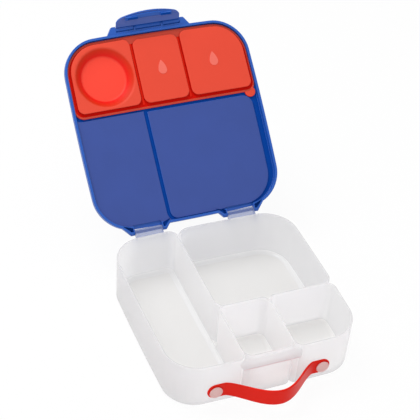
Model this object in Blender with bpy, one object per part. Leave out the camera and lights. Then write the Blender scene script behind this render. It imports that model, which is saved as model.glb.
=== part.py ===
"""Lunch box: a tub with four compartments, a hinged lid with a removable seal, a front latch and a carry strap.

Metres, +Z up. The origin is the centre of the tub's underside, +X is the user's right and the latch is at -Y.
The lid stands open on its stop. What the lid carries is modelled closed and swung open with the lid's hinge.
"""

import math

import bmesh
import bpy
from mathutils import Matrix, Vector

# Tub
TUB_WIDTH = 0.2380
TUB_DEPTH = 0.2360
TUB_HEIGHT = 0.0635
CORNER_RADIUS = 0.0380
SIDE_BOW = 0.0022
WALL = 0.0022
DIVIDER = 0.0019
FLOOR = 0.0026
DRAFT = 0.0012
FOOT_FILLET = 0.0060
FOOT_MARGIN = 0.0003
FOOT_EASE = 0.0015
CELL_FILLET = 0.0050
BASE_INSET = 0.0150
BASE_STEP = 0.0004
BASE_RISE = 0.0012
NOTCH_RISE = 0.0007
NOTCH_INSET = 0.0006

# Dividers, measured to the middle of each wall
LONG_DIVIDER_X = -0.0308
CROSS_DIVIDER_Y = -0.0275
SHORT_DIVIDER_X = 0.0325
CELL_CORNER = 0.0100
BACK_CELL_CORNER = 0.0180
SNACK_SETBACK = 0.0025

# Lid
LID_OVERHANG = 0.0052
LID_SKIN = 0.0020
LID_TOP = 0.0044
LID_EDGE_ROUND = 0.0016
SKIRT_DROP = 0.0030
PAD_DROP = 0.0014
PAD_GAP = 0.0014
LID_OPEN_ANGLE = math.radians(137.8)

# Lid hinge
HINGE_BACKSET = 0.0085
HINGE_SPACING = 0.1236
KNUCKLE_LENGTH = 0.0360
KNUCKLE_RADIUS = 0.0035
KNUCKLE_WEB_DROP = 0.0150
KNUCKLE_WEB_TOP = 0.0020
HINGE_PIN_RADIUS = 0.0015
HINGE_PIN_REACH = 0.0032
EAR_TIP_WIDTH = 0.0050
EAR_ROOT_WIDTH = 0.0170

# Seal
SEAL_SKIN = 0.0016
SEAL_PAD_DROP = 0.0022
SEAL_LAP = 0.0045
SEAL_GROOVE = 0.0036
SEAL_EDGE_CORNER = 0.0030
BOWL_RIM_RADIUS = 0.0375
BOWL_FLOOR_RADIUS = 0.0300
BOWL_DEPTH = 0.0088
TAB_INSET = 0.0067
TAB_RADIUS = 0.0072
TAB_STEP = 0.00006

# Latch
LATCH_BACKSET = 0.0057
LATCH_AXIS_RISE = 0.0015
LATCH_BARREL_RADIUS = 0.0027
LATCH_PIN_RADIUS = 0.0013
LATCH_PIN_COVER = 0.0020
FLAP_WIDTH = 0.0850
FLAP_LENGTH = 0.0215
FLAP_SKIN = 0.0020
FLAP_CORNER = 0.0110
FLAP_LEAN = math.radians(9)
FLAP_OPEN_ANGLE = math.radians(50)
BRACKET_CHEEK = 0.0060
BRACKET_FLARE = 0.0080
BRACKET_REACH = 0.0100
BRACKET_HEIGHT = 0.0054
BRACKET_SLOT_BACK = 0.0024
RIB_X = 0.0183
RIB_WIDTH = 0.0024
CATCH_WIDTH = 0.0760
CATCH_REACH = 0.0042
CATCH_EDGE_DROP = 0.0135
CATCH_RISE = 0.0080
CATCH_LIP = 0.0012
HOOK_X = 0.0220
HOOK_WIDTH = 0.0140
HOOK_BITE = 0.0014
BEAD_WIDTH = 0.0660
BEAD_REACH = 0.0020
BEAD_HEIGHT = 0.0034

# Handle
STUD_X = 0.0670
STUD_Z = 0.0236
STUD_HEAD_RADIUS = 0.0080
STUD_HEAD_THICKNESS = 0.0018
STUD_STEM_RADIUS = 0.0020
STUD_BOSS_RADIUS = 0.0042
STRAP_THICKNESS = 0.0024
STRAP_HEIGHT = 0.0198
STRAP_BULGE = 0.0314
STRAP_BULGE_X = 0.0029
STRAP_BULGE_LEFT = 0.0585
STRAP_BULGE_RIGHT = 0.0526
STRAP_FULLNESS = 0.71

# Clearances
GAP = 0.0003
RUNNING_GAP = 0.0002
EMBED = 0.0010
OVERSHOOT = 0.0040
WELD_REACH = 0.00002

# Facets
CORNER_STEPS = 6
LONG_FACET = 0.0200
ROUND_STEPS = 24
FILLET_STEPS = 3
STRAP_STEPS = 44

HALF_W = TUB_WIDTH / 2
HALF_D = TUB_DEPTH / 2
HINGE_Y = HALF_D + HINGE_BACKSET
LID_LOW = -SKIRT_DROP
LID_INNER = LID_TOP - LID_SKIN
LID_FRONT = -(HINGE_Y + HALF_D + LID_OVERHANG)
SEAL_TOP = LID_INNER - GAP
SEAL_EDGE_Y = CROSS_DIVIDER_Y + SEAL_LAP
TAB_X = HALF_W - TAB_INSET
LATCH_Y = LID_FRONT - LATCH_BACKSET
BRACKET_TIP_HALF = FLAP_WIDTH / 2 + BRACKET_CHEEK


# Scene and materials


def clear_scene():
    for item in list(bpy.data.objects):
        bpy.data.objects.remove(item, do_unlink=True)


def material(name, colour, roughness, transmission=0.0):
    finish = bpy.data.materials.new(name)
    finish.use_nodes = True
    shader = finish.node_tree.nodes["Principled BSDF"]
    shader.inputs["Base Color"].default_value = (*colour, 1.0)
    shader.inputs["Roughness"].default_value = roughness
    shader.inputs["Metallic"].default_value = 0.0
    shader.inputs["Transmission Weight"].default_value = transmission
    return finish


def add_object(name, mesh_builder, finish=None, parent=None):
    mesh = bpy.data.meshes.new(name)
    bmesh.ops.recalc_face_normals(mesh_builder, faces=mesh_builder.faces)
    mesh_builder.to_mesh(mesh)
    mesh_builder.free()
    item = bpy.data.objects.new(name, mesh)
    bpy.context.scene.collection.objects.link(item)
    item.parent = parent
    if finish:
        mesh.materials.append(finish)
        mesh.shade_smooth()
        mesh.set_sharp_from_angle(angle=math.radians(35))
    return item


def combine(target, operation, tool):
    """Adds one Boolean step to target, and leaves its tool out of the render."""
    tool.hide_render = True
    tool.display_type = "WIRE"
    step = target.modifiers.new(tool.name, "BOOLEAN")
    step.operation = operation
    step.object = tool


def solve_as_manifold(target):
    """Sets the solver that keeps crossing walls closed, where EXACT leaves folds with no thickness."""
    for step in target.modifiers:
        step.solver = "MANIFOLD"


def weld(target):
    """Closes the hairline facets that crossing walls leave."""
    step = target.modifiers.new("weld", "WELD")
    step.merge_threshold = WELD_REACH


def pivot(name, location, angle, parent=None):
    empty = bpy.data.objects.new(name, None)
    bpy.context.scene.collection.objects.link(empty)
    empty.parent = parent
    empty.location = location
    empty.rotation_euler = (angle, 0.0, 0.0)
    return empty


# Plan outlines


def bowed(x, y):
    """Moves a point of the straight-sided plan out to the gently bowed one."""
    across = min(abs(x) / HALF_W, 1.0)
    along = min(abs(y) / HALF_D, 1.0)
    shift_x = SIDE_BOW * (x / HALF_W) * (1 - along**2)
    shift_y = SIDE_BOW * (y / HALF_D) * (1 - across**2)
    return x + shift_x, y + shift_y


def arc(x, y, radius, start, end, steps):
    """Points of an arc from start to end, in degrees."""
    turns = [math.radians(start + (end - start) * step / steps) for step in range(steps + 1)]
    return [(x + radius * math.cos(turn), y + radius * math.sin(turn)) for turn in turns]


def rounded(box, radii, steps=CORNER_STEPS):
    """A box (left, low, right, high) with rounded corners, from the low left one, anticlockwise."""
    left, low, right, high = box
    corners = ((left, low, 180), (right, low, 270), (right, high, 360), (left, high, 450))
    points = []
    for (x, y, start), radius in zip(corners, radii):
        centre_x = x + radius if x == left else x - radius
        centre_y = y + radius if y == low else y - radius
        points += arc(centre_x, centre_y, radius, start, start + 90, steps)
    return points


def outline(box, radii, grow, steps=CORNER_STEPS):
    """The bowed plan of a rounded box (left, front, right, back), offset outwards by grow."""
    left, front, right, back = box
    grown = (left - grow, front - grow, right + grow, back + grow)
    points = rounded(grown, [radius + grow for radius in radii], steps)
    plan = []
    for here, after in zip(points, points[1:] + points[:1]):
        run = Vector(after) - Vector(here)
        count = steps if run.length > LONG_FACET else 1
        for step in range(count):
            plan.append(bowed(*(Vector(here) + run * step / count)))
    return plan


def tub_plan_box():
    return (-HALF_W + SIDE_BOW, -HALF_D + SIDE_BOW, HALF_W - SIDE_BOW, HALF_D - SIDE_BOW)


def cell_boxes():
    """Each compartment's box (left, front, right, back) and corner radii, front left corner first."""
    half = DIVIDER / 2
    left, right = -HALF_W + SIDE_BOW + WALL, HALF_W - SIDE_BOW - WALL
    front, back = -HALF_D + SIDE_BOW + WALL, HALF_D - SIDE_BOW - WALL
    outer = CORNER_RADIUS - WALL
    small = CELL_CORNER
    large = BACK_CELL_CORNER
    return {
        "long": ((left, front, LONG_DIVIDER_X - half, back), (outer, small, small, outer)),
        "large": (
            (LONG_DIVIDER_X + half, CROSS_DIVIDER_Y + half, right, back),
            (small, small, outer, large),
        ),
        "snack": (
            (LONG_DIVIDER_X + half, front + SNACK_SETBACK, SHORT_DIVIDER_X - half, CROSS_DIVIDER_Y - half),
            (small, small, small, small),
        ),
        "corner": (
            (SHORT_DIVIDER_X + half, front, right, CROSS_DIVIDER_Y - half),
            (small, outer, small, small),
        ),
    }


# Solids


def loft(rings):
    """A closed solid through rings of equal count, capped at both ends."""
    builder = bmesh.new()
    loops = []
    for ring in rings:
        verts = [builder.verts.new(point) for point in ring]
        loops.append([builder.edges.new(pair) for pair in zip(verts, verts[1:] + verts[:1])])
    for low, high in zip(loops, loops[1:]):
        bmesh.ops.bridge_loops(builder, edges=low + high)
    for end in (loops[0], loops[-1]):
        bmesh.ops.edgeloop_fill(builder, edges=end)
    bmesh.ops.triangulate(builder, faces=builder.faces)
    return builder


def prism(plan, low, high):
    """A straight solid between two heights."""
    return loft([[(x, y, z) for x, y in plan] for z in (low, high)])


def side_prism(profile, left, right):
    """A solid with the same (y, z) profile from left to right."""
    return loft([[(x, y, z) for y, z in profile] for x in (left, right)])


def cylinder(radius, start, end, steps=ROUND_STEPS, end_radius=None):
    """A round bar, or a cone with another end radius, between two points."""
    start, end = Vector(start), Vector(end)
    run = end - start
    builder = bmesh.new()
    turn = Vector((0, 0, 1)).rotation_difference(run).to_matrix().to_4x4()
    bmesh.ops.create_cone(
        builder,
        cap_ends=True,
        segments=steps,
        radius1=radius,
        radius2=radius if end_radius is None else end_radius,
        depth=run.length,
        matrix=Matrix.Translation((start + end) / 2) @ turn,
    )
    return builder


def merge(builders):
    """Puts separate solids that don't touch into one mesh."""
    whole = bmesh.new()
    for builder in builders:
        piece = bpy.data.meshes.new("piece")
        builder.to_mesh(piece)
        builder.free()
        whole.from_mesh(piece)
        bpy.data.meshes.remove(piece)
    return whole


def box(low, high):
    centre = (Vector(low) + Vector(high)) / 2
    size = Vector(high) - Vector(low)
    builder = bmesh.new()
    bmesh.ops.create_cube(builder, size=1.0, matrix=Matrix.Translation(centre) @ Matrix.Diagonal((*size, 1)))
    return builder


# Tub


def drafted(points, height):
    """A plan at its height, drawn in towards the tub's middle as the walls lean."""
    lean = 1 - DRAFT / HALF_W * (1 - height / TUB_HEIGHT)
    return [(x * lean, y * lean, height) for x, y in points]


def tub_rings(plan, radii, grow, low, high, fillet, steps=CORNER_STEPS):
    """Rings of a compartment's outline between two heights, with a rounded bottom edge."""
    rings = []
    for step in range(FILLET_STEPS if fillet else 0):
        turn = math.radians(90 * step / FILLET_STEPS)
        inset = fillet * (1 - math.sin(turn))
        rings.append(drafted(outline(plan, radii, grow - inset, steps), low + fillet * (1 - math.cos(turn))))
    for height in (low + fillet, high):
        rings.append(drafted(outline(plan, radii, grow, steps), height))
    return rings


def knuckle_profile():
    """(y, z) of a knuckle and the web that ties it to the back wall."""
    profile = arc(HINGE_Y, TUB_HEIGHT, KNUCKLE_RADIUS, 135, -75, 9)
    root = HALF_D - SIDE_BOW / 2 - EMBED
    return profile + [(root, TUB_HEIGHT - KNUCKLE_WEB_DROP), (root, TUB_HEIGHT - KNUCKLE_WEB_TOP)]


def catch_profile():
    """(y, z) of the ridge under which the latch hooks."""
    root = -HALF_D + SNACK_SETBACK + EMBED
    edge = TUB_HEIGHT - CATCH_EDGE_DROP
    top = edge + CATCH_RISE
    tip = -HALF_D - CATCH_REACH
    return [(root, top), (-HALF_D, top), (tip, edge + CATCH_LIP), (tip, edge), (root, edge)]


def stud_face():
    """y of the front wall's outer face where the studs sit."""
    face = HALF_D - SIDE_BOW * (STUD_X / HALF_W) ** 2
    return drafted([(STUD_X, -face)], STUD_Z)[0][1]


def strap_back():
    """y of the strap's inner face where it lies on the wall."""
    return stud_face() - 2 * GAP


def shell(cell):
    """A compartment's outer form, carried below the foot, which trims it."""
    plan, radii = cell_boxes()[cell]
    return loft(tub_rings(plan, radii, WALL, -OVERSHOOT, TUB_HEIGHT, 0.0))


def foot():
    """The whole tub's envelope, with the rounded edge that it stands in."""
    radii = (CORNER_RADIUS - FOOT_EASE,) * 4
    top = TUB_HEIGHT + OVERSHOOT
    return loft(tub_rings(tub_plan_box(), radii, FOOT_MARGIN, BASE_STEP, top, FOOT_FILLET, CORNER_STEPS + 1))


def hollow(cell):
    plan, radii = cell_boxes()[cell]
    return loft(tub_rings(plan, radii, 0.0, FLOOR, TUB_HEIGHT + OVERSHOOT, CELL_FILLET))


def notch(middle, inward):
    """A cutter that opens the V between two rounded compartments towards the third one beside them.

    It stands at middle, the crossing of the two dividers, and inward is the unit vector into the V.
    """
    corner = DIVIDER / 2 + CELL_CORNER
    radius = CELL_CORNER + WALL
    depths = (-DIVIDER / 2 - EMBED, DIVIDER / 2 + EMBED)
    sides = []
    for depth in depths:
        sides.append(corner - math.sqrt(radius**2 - min(corner - depth, radius) ** 2) - NOTCH_INSET)
    across = Vector((-inward[1], inward[0]))
    start, end = (Vector(middle) + Vector(inward) * depth for depth in depths)
    wide, narrow = (across * side for side in sides)
    plan = [tuple(point) for point in (start - wide, end - narrow, end + narrow, start + wide)]
    return prism(plan, FLOOR + NOTCH_RISE, TUB_HEIGHT + OVERSHOOT)


def base():
    """The flat panel that the tub stands on, a hair proud of the rounded foot."""
    return prism(outline(tub_plan_box(), (CORNER_RADIUS,) * 4, -BASE_INSET), 0.0, FLOOR + BASE_RISE)


def knuckle(side):
    middle, half = side * HINGE_SPACING / 2, KNUCKLE_LENGTH / 2
    return side_prism(knuckle_profile(), middle - half, middle + half)


def boss(side):
    """The round boss on the front wall that a stud's stem fits and the strap's hole rides on."""
    root, end = stud_face() + EMBED, strap_back() - STRAP_THICKNESS - GAP
    return cylinder(STUD_BOSS_RADIUS, (side * STUD_X, root, STUD_Z), (side * STUD_X, end, STUD_Z))


def build_tub(finish):
    crossings = ((SHORT_DIVIDER_X, (0, -1)), (LONG_DIVIDER_X, (1, 0)))
    notches = [notch((x, CROSS_DIVIDER_Y), inward) for x, inward in crossings]
    steps = (
        ("shell_large", "UNION", shell("large")),
        ("shell_snack", "UNION", shell("snack")),
        ("shell_corner", "UNION", shell("corner")),
        ("foot", "INTERSECT", foot()),
        ("base", "UNION", base()),
        ("knuckles", "UNION", merge([knuckle(-1), knuckle(1)])),
        ("bosses", "UNION", merge([boss(-1), boss(1)])),
        ("catch", "UNION", side_prism(catch_profile(), -CATCH_WIDTH / 2, CATCH_WIDTH / 2)),
        ("hollows", "DIFFERENCE", merge([hollow(cell) for cell in cell_boxes()])),
        ("notches", "DIFFERENCE", merge(notches)),
        ("bores", "DIFFERENCE", merge(tub_bores())),
    )
    tub = add_object("tub", shell("long"), finish)
    for name, operation, tool in steps:
        combine(tub, operation, add_object(f"tub_{name}", tool))
    solve_as_manifold(tub)
    weld(tub)


def tub_bores():
    """The knuckles' pin bores, and the blind holes that take the studs' stems."""
    bores = []
    for side in (-1, 1):
        middle = side * HINGE_SPACING / 2
        ends = [(middle + end * KNUCKLE_LENGTH, HINGE_Y, TUB_HEIGHT) for end in (-1, 1)]
        bores.append(cylinder(HINGE_PIN_RADIUS + RUNNING_GAP, *ends, 12))
        start = (side * STUD_X, strap_back() - 2 * STRAP_THICKNESS, STUD_Z)
        end = (side * STUD_X, stud_face(), STUD_Z)
        bores.append(cylinder(STUD_STEM_RADIUS + RUNNING_GAP, start, end, 12))
    return bores


# Lid: modelled closed in the hinge pivot's frame, with the rim at z = 0 and the tub's middle at y = -HINGE_Y


def lid_plan(plan, radii, grow):
    return [(x, y - HINGE_Y) for x, y in outline(plan, radii, grow)]


def outer_plan(grow):
    """The tub's outline grown by an amount, with its middle where the closed lid's is."""
    return lid_plan(tub_plan_box(), (CORNER_RADIUS,) * 4, grow)


def clear_of_tab(right, front):
    """Radius of the panel corner at (right, front) that leaves PAD_GAP to the seal's round tab."""
    across, along = right - TAB_X, front - SEAL_EDGE_Y
    reach = across - along + TAB_RADIUS
    return reach + math.sqrt(reach**2 - across**2 - along**2 + TAB_RADIUS**2)


def lid_pads():
    """Plan and radii of the two panels that close the rear compartments."""
    cells = cell_boxes()
    front = SEAL_EDGE_Y + SEAL_GROOVE - PAD_GAP
    (left, _, right, back), (_, _, inner, outer) = cells["long"]
    long_pad = ((left, front, right, back), (CELL_CORNER, CELL_CORNER, inner, outer))
    (left, _, right, back), (_, _, outer, inner) = cells["large"]
    large_pad = ((left, front, right, back), (CELL_CORNER, clear_of_tab(right, front), outer, inner))
    return {"long": long_pad, "large": large_pad}


def seal_pads():
    """Plan and radii of the three pads that close the front compartments."""
    cells = cell_boxes()
    (left, front, right, _), (outer, small, _, _) = cells["long"]
    long_pad = ((left, front, right, CROSS_DIVIDER_Y - DIVIDER / 2), (outer, small, small, small))
    return {"long": long_pad, "snack": cells["snack"], "corner": cells["corner"]}


def bowl_centre():
    """The middle of the seal's bowl, over the front of the long compartment."""
    (left, front, right, back), _ = seal_pads()["long"]
    return (left + right) / 2, (front + back) / 2 - HINGE_Y


def ear(inner_x, outward):
    """A tapered ear beside a knuckle, running from its round end into the skirt."""
    round_end = arc(0.0, 0.0, KNUCKLE_RADIUS, -90, 90, 8)
    near_root = -(HINGE_BACKSET - LID_OVERHANG) - SIDE_BOW / 2 - EMBED
    far_root = near_root - EAR_ROOT_WIDTH / 3
    rings = []
    for tip_x, root_x, root in (
        (inner_x, inner_x, near_root),
        (inner_x + outward * EAR_TIP_WIDTH, inner_x + outward * EAR_ROOT_WIDTH, far_root),
    ):
        ring = [(tip_x, y, z) for y, z in round_end]
        rings.append(ring + [(root_x, root, LID_INNER + EMBED), (root_x, root, LID_LOW)])
    return loft(rings)


def ears():
    """The four ears, two to each knuckle."""
    near = KNUCKLE_LENGTH / 2 + GAP
    middles = (-HINGE_SPACING / 2, HINGE_SPACING / 2)
    return merge([ear(middle + outward * near, outward) for middle in middles for outward in (-1, 1)])


def bracket():
    """The trapezoid at the front that carries the latch."""
    back = LID_FRONT + LID_SKIN
    front = LID_FRONT - BRACKET_REACH
    tip, root = BRACKET_TIP_HALF, BRACKET_TIP_HALF + BRACKET_FLARE
    plan = [(-root, back), (-tip, front), (tip, front), (root, back)]
    middle = LATCH_AXIS_RISE
    return prism(plan, middle - BRACKET_HEIGHT / 2, middle + BRACKET_HEIGHT / 2)


def bracket_rib(x):
    """A rib across the bracket's slot, round about the latch pin."""
    profile = arc(LATCH_Y, LATCH_AXIS_RISE, LATCH_BARREL_RADIUS, 90, 270, 10)
    back = LID_FRONT - BRACKET_SLOT_BACK + EMBED
    low, high = LATCH_AXIS_RISE - LATCH_BARREL_RADIUS, LATCH_AXIS_RISE + LATCH_BARREL_RADIUS
    profile += [(back, low), (back, high)]
    return side_prism(profile, x - RIB_WIDTH / 2, x + RIB_WIDTH / 2)


def latch_bore_half():
    return BRACKET_TIP_HALF - LATCH_PIN_COVER


def lid_bores():
    """Blind bores for the hinge pins' ends and for the latch pin."""
    reach = KNUCKLE_LENGTH / 2 + HINGE_PIN_REACH + GAP
    bores = []
    for middle in (-HINGE_SPACING / 2, HINGE_SPACING / 2):
        radius = HINGE_PIN_RADIUS + RUNNING_GAP
        bores.append(cylinder(radius, (middle - reach, 0, 0), (middle + reach, 0, 0), 12))
    half = latch_bore_half()
    start, end = ((side * half, LATCH_Y, LATCH_AXIS_RISE) for side in (-1, 1))
    bores.append(cylinder(LATCH_PIN_RADIUS + RUNNING_GAP, start, end, 12))
    return merge(bores)


def lid_body():
    """The lid's outer form, with a rounded upper edge."""
    side = outer_plan(LID_OVERHANG)
    top = outer_plan(LID_OVERHANG - LID_EDGE_ROUND)
    rings = [[(x, y, z) for x, y in side] for z in (LID_LOW, LID_TOP - LID_EDGE_ROUND)]
    return loft(rings + [[(x, y, LID_TOP) for x, y in top]])


def lid_panels(inset, low, high):
    """The rear panels' outlines, inset, as solids between two heights."""
    return merge([prism(lid_plan(*pad, -inset), low, high) for pad in lid_pads().values()])


def bracket_slot():
    """The opening in the bracket in which the latch swings."""
    half = FLAP_WIDTH / 2 + GAP
    low = (-half, LID_FRONT - 2 * BRACKET_REACH, -BRACKET_REACH)
    return box(low, (half, LID_FRONT - BRACKET_SLOT_BACK, BRACKET_REACH))


def knuckle_notch(middle):
    """The gap in the lid's skirt that clears a knuckle and its web."""
    half = KNUCKLE_LENGTH / 2 + GAP
    reach = HINGE_BACKSET + SIDE_BOW + WALL
    room, edge = KNUCKLE_RADIUS + GAP, HINGE_BACKSET - LID_OVERHANG
    rise = math.sqrt(max(room**2 - edge**2, 0.0))
    return box((middle - half, -reach, LID_LOW - EMBED), (middle + half, 0.0, max(LID_INNER - GAP, rise)))


def bowl_window():
    """The round hole in the lid through which the seal's bowl stands."""
    x, y = bowl_centre()
    radius = BOWL_RIM_RADIUS + SEAL_SKIN + GAP
    return cylinder(radius, (x, y, 0.0), (x, y, LID_TOP + EMBED), 2 * ROUND_STEPS)


def build_lid(finish, hinge):
    floor = LID_SKIN - PAD_DROP
    knuckles = [knuckle_notch(side * HINGE_SPACING / 2) for side in (-1, 1)]
    steps = (
        ("ears", "UNION", ears()),
        ("bracket", "UNION", bracket()),
        ("room", "DIFFERENCE", prism(outer_plan(LID_OVERHANG - LID_SKIN), LID_LOW - OVERSHOOT, LID_INNER)),
        ("panels", "UNION", lid_panels(PAD_GAP, -PAD_DROP, LID_INNER + EMBED)),
        ("recesses", "DIFFERENCE", lid_panels(PAD_GAP + LID_SKIN, floor, LID_TOP + OVERSHOOT)),
        ("slot", "DIFFERENCE", bracket_slot()),
        ("ribs", "UNION", merge([bracket_rib(-RIB_X), bracket_rib(RIB_X)])),
        ("cuts", "DIFFERENCE", merge(knuckles + [bowl_window(), lid_bores()])),
    )
    lid = add_object("lid_shell", lid_body(), finish, hinge)
    for name, operation, tool in steps:
        combine(lid, operation, add_object(f"lid_{name}", tool, parent=hinge))
    solve_as_manifold(lid)
    weld(lid)


# Seal


def flange():
    """The seal's flat sheet, inside the lid's skirt at the front and the sides."""
    left, front, right, _ = tub_plan_box()
    grow = LID_OVERHANG - LID_SKIN - GAP
    corner = SEAL_EDGE_CORNER - grow
    radii = (CORNER_RADIUS, CORNER_RADIUS, corner, corner)
    plan = lid_plan((left, front, right, SEAL_EDGE_Y - grow), radii, grow)
    return prism(plan, SEAL_TOP - SEAL_SKIN, SEAL_TOP)


def seal_tab():
    """The round tab by which the seal is pulled out, a hair thinner than the flange."""
    y = SEAL_EDGE_Y - HINGE_Y
    low, high = SEAL_TOP - SEAL_SKIN + TAB_STEP, SEAL_TOP - TAB_STEP
    return cylinder(TAB_RADIUS, (TAB_X, y, low), (TAB_X, y, high))


def seal_blocks(inset, low, high):
    """The front pads' outlines, inset, as solids between two heights."""
    return merge([prism(lid_plan(*pad, -inset), low, high) for pad in seal_pads().values()])


def bowl(low, low_radius, high, high_radius):
    """A cone on the bowl's axis."""
    x, y = bowl_centre()
    return cylinder(low_radius, (x, y, low), (x, y, high), 2 * ROUND_STEPS, high_radius)


def build_seal(finish, hinge):
    face = -SEAL_PAD_DROP
    top = face + BOWL_DEPTH
    slope = (BOWL_RIM_RADIUS - BOWL_FLOOR_RADIUS) / BOWL_DEPTH
    outer_rim, outer_floor = BOWL_RIM_RADIUS + SEAL_SKIN, BOWL_FLOOR_RADIUS + SEAL_SKIN / 2
    mouth = BOWL_RIM_RADIUS + slope * EMBED
    steps = (
        ("tab", "UNION", seal_tab()),
        ("pads", "UNION", seal_blocks(PAD_GAP, face, SEAL_TOP - EMBED / 2)),
        ("rooms", "DIFFERENCE", seal_blocks(PAD_GAP + SEAL_SKIN, face + SEAL_SKIN, SEAL_TOP + EMBED)),
        ("bowl", "UNION", bowl(face + EMBED / 2, outer_rim, top + SEAL_SKIN, outer_floor)),
        ("bowl_inside", "DIFFERENCE", bowl(face - EMBED, mouth, top, BOWL_FLOOR_RADIUS)),
    )
    seal = add_object("lid_seal", flange(), finish, hinge)
    for name, operation, tool in steps:
        combine(seal, operation, add_object(f"seal_{name}", tool, parent=hinge))
    weld(seal)


# Latch: modelled closed in its pivot's frame, where the pin's axis is the origin and the flap hangs down


def hook_top():
    """Height of the hooks' upper faces, just under the tub's catch."""
    return -(CATCH_EDGE_DROP + LATCH_AXIS_RISE) - GAP


def flap_inner(height):
    """y of the flap's inner face at a height."""
    return math.tan(FLAP_LEAN) * -height + FLAP_SKIN / 2


def flap_plate():
    """The flap's plate, with two round lower corners, leaning in from the pin."""
    half = FLAP_WIDTH / 2
    edge = rounded((-half, -FLAP_LENGTH, half, 0.0), (FLAP_CORNER, FLAP_CORNER, EMBED, EMBED))
    plate = loft([[(x, y, z) for x, z in edge] for y in (-FLAP_SKIN / 2, FLAP_SKIN / 2)])
    bmesh.ops.rotate(plate, verts=plate.verts, matrix=Matrix.Rotation(FLAP_LEAN, 3, "X"))
    return plate


def flap_bead():
    """The ridge that stiffens the flap and carries its hooks."""
    half, top = BEAD_WIDTH / 2, hook_top()
    inner = flap_inner(top)
    return box((-half, inner - EMBED, top - BEAD_HEIGHT), (half, inner + BEAD_REACH, top - GAP))


def flap_hook(x):
    """One of the hooks that bite under the tub's catch."""
    half, top = HOOK_WIDTH / 2, hook_top()
    catch_tip = LATCH_BACKSET + LID_OVERHANG - CATCH_REACH
    low = (x - half, flap_inner(top) - EMBED / 2, top - BEAD_HEIGHT - GAP)
    return box(low, (x + half, catch_tip + HOOK_BITE, top))


def rib_gap(x):
    """The break in the flap's barrel for a rib of the bracket."""
    half, room = RIB_WIDTH / 2 + GAP, LATCH_BARREL_RADIUS + 2 * GAP
    return box((x - half, -room, -room), (x + half, room, room))


def build_latch(finish, latch):
    half = FLAP_WIDTH / 2
    bore_ends = [(side * (half + EMBED), 0, 0) for side in (-1, 1)]
    steps = (
        ("barrel", "UNION", cylinder(LATCH_BARREL_RADIUS, (-half, 0, 0), (half, 0, 0))),
        ("bead", "UNION", flap_bead()),
        ("hooks", "UNION", merge([flap_hook(-HOOK_X), flap_hook(HOOK_X)])),
        ("bore", "DIFFERENCE", cylinder(LATCH_PIN_RADIUS + RUNNING_GAP, *bore_ends, 12)),
        ("gaps", "DIFFERENCE", merge([rib_gap(-RIB_X), rib_gap(RIB_X)])),
    )
    flap = add_object("latch_flap", flap_plate(), finish, latch)
    for name, operation, tool in steps:
        combine(flap, operation, add_object(f"flap_{name}", tool, parent=latch))
    weld(flap)


# Pins, handle and studs


def build_pins(finish, hinge):
    reach = KNUCKLE_LENGTH / 2 + HINGE_PIN_REACH
    for side, name in ((-1, "left"), (1, "right")):
        middle = side * HINGE_SPACING / 2
        pin = cylinder(HINGE_PIN_RADIUS, (-reach, 0, 0), (reach, 0, 0), 12)
        item = add_object(f"hinge_pin_{name}", pin, finish)
        item.location = (middle, HINGE_Y, TUB_HEIGHT)
    half = latch_bore_half() - GAP
    pin = cylinder(LATCH_PIN_RADIUS, (-half, 0, 0), (half, 0, 0), 12)
    item = add_object("latch_pin", pin, finish, hinge)
    item.location = (0, LATCH_Y, LATCH_AXIS_RISE)


def strap_offset(x):
    """How far the strap stands off its flat ends at x."""
    half = STRAP_BULGE_LEFT if x < STRAP_BULGE_X else STRAP_BULGE_RIGHT
    reach = min(abs(x - STRAP_BULGE_X) / half, 1.0)
    rise = (1 + math.cos(math.pi * reach)) / 2
    return STRAP_BULGE * rise**STRAP_FULLNESS


def build_strap(finish):
    half_height = STRAP_HEIGHT / 2
    middle = strap_back() - STRAP_THICKNESS / 2
    end = STUD_X + half_height
    rings = []
    for step in range(STRAP_STEPS + 1):
        x = -end * math.cos(math.pi * step / STRAP_STEPS)
        past = max(abs(x) - STUD_X, 0.0)
        half = max(math.sqrt(max(half_height**2 - past**2, 0.0)), EMBED)
        slope = (strap_offset(x + EMBED) - strap_offset(x - EMBED)) / (2 * EMBED)
        across = Vector((slope, 1.0)).normalized() * STRAP_THICKNESS / 2
        centre = Vector((x, middle - strap_offset(x)))
        inner, outer = centre + across, centre - across
        low, high = STUD_Z - half, STUD_Z + half
        rings.append([(*inner, low), (*outer, low), (*outer, high), (*inner, high)])
    strap = add_object("handle_strap", loft(rings), finish)
    holes = []
    for side in (-1, 1):
        start = (side * STUD_X, strap_back() + EMBED, STUD_Z)
        end = (side * STUD_X, strap_back() - 2 * STRAP_THICKNESS, STUD_Z)
        holes.append(cylinder(STUD_BOSS_RADIUS + GAP, start, end))
    combine(strap, "DIFFERENCE", add_object("strap_holes", merge(holes)))


def build_studs(finish):
    inner = strap_back() - STRAP_THICKNESS - 2 * GAP
    for side, name in ((-1, "left"), (1, "right")):
        x = side * STUD_X
        head = cylinder(STUD_HEAD_RADIUS, (x, inner, STUD_Z), (x, inner - STUD_HEAD_THICKNESS, STUD_Z), 32)
        stud = add_object(f"handle_stud_{name}", head, finish)
        stem = cylinder(STUD_STEM_RADIUS, (x, inner - EMBED, STUD_Z), (x, stud_face() - 2 * GAP, STUD_Z), 12)
        combine(stud, "UNION", add_object(f"stud_stem_{name}", stem))


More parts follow.
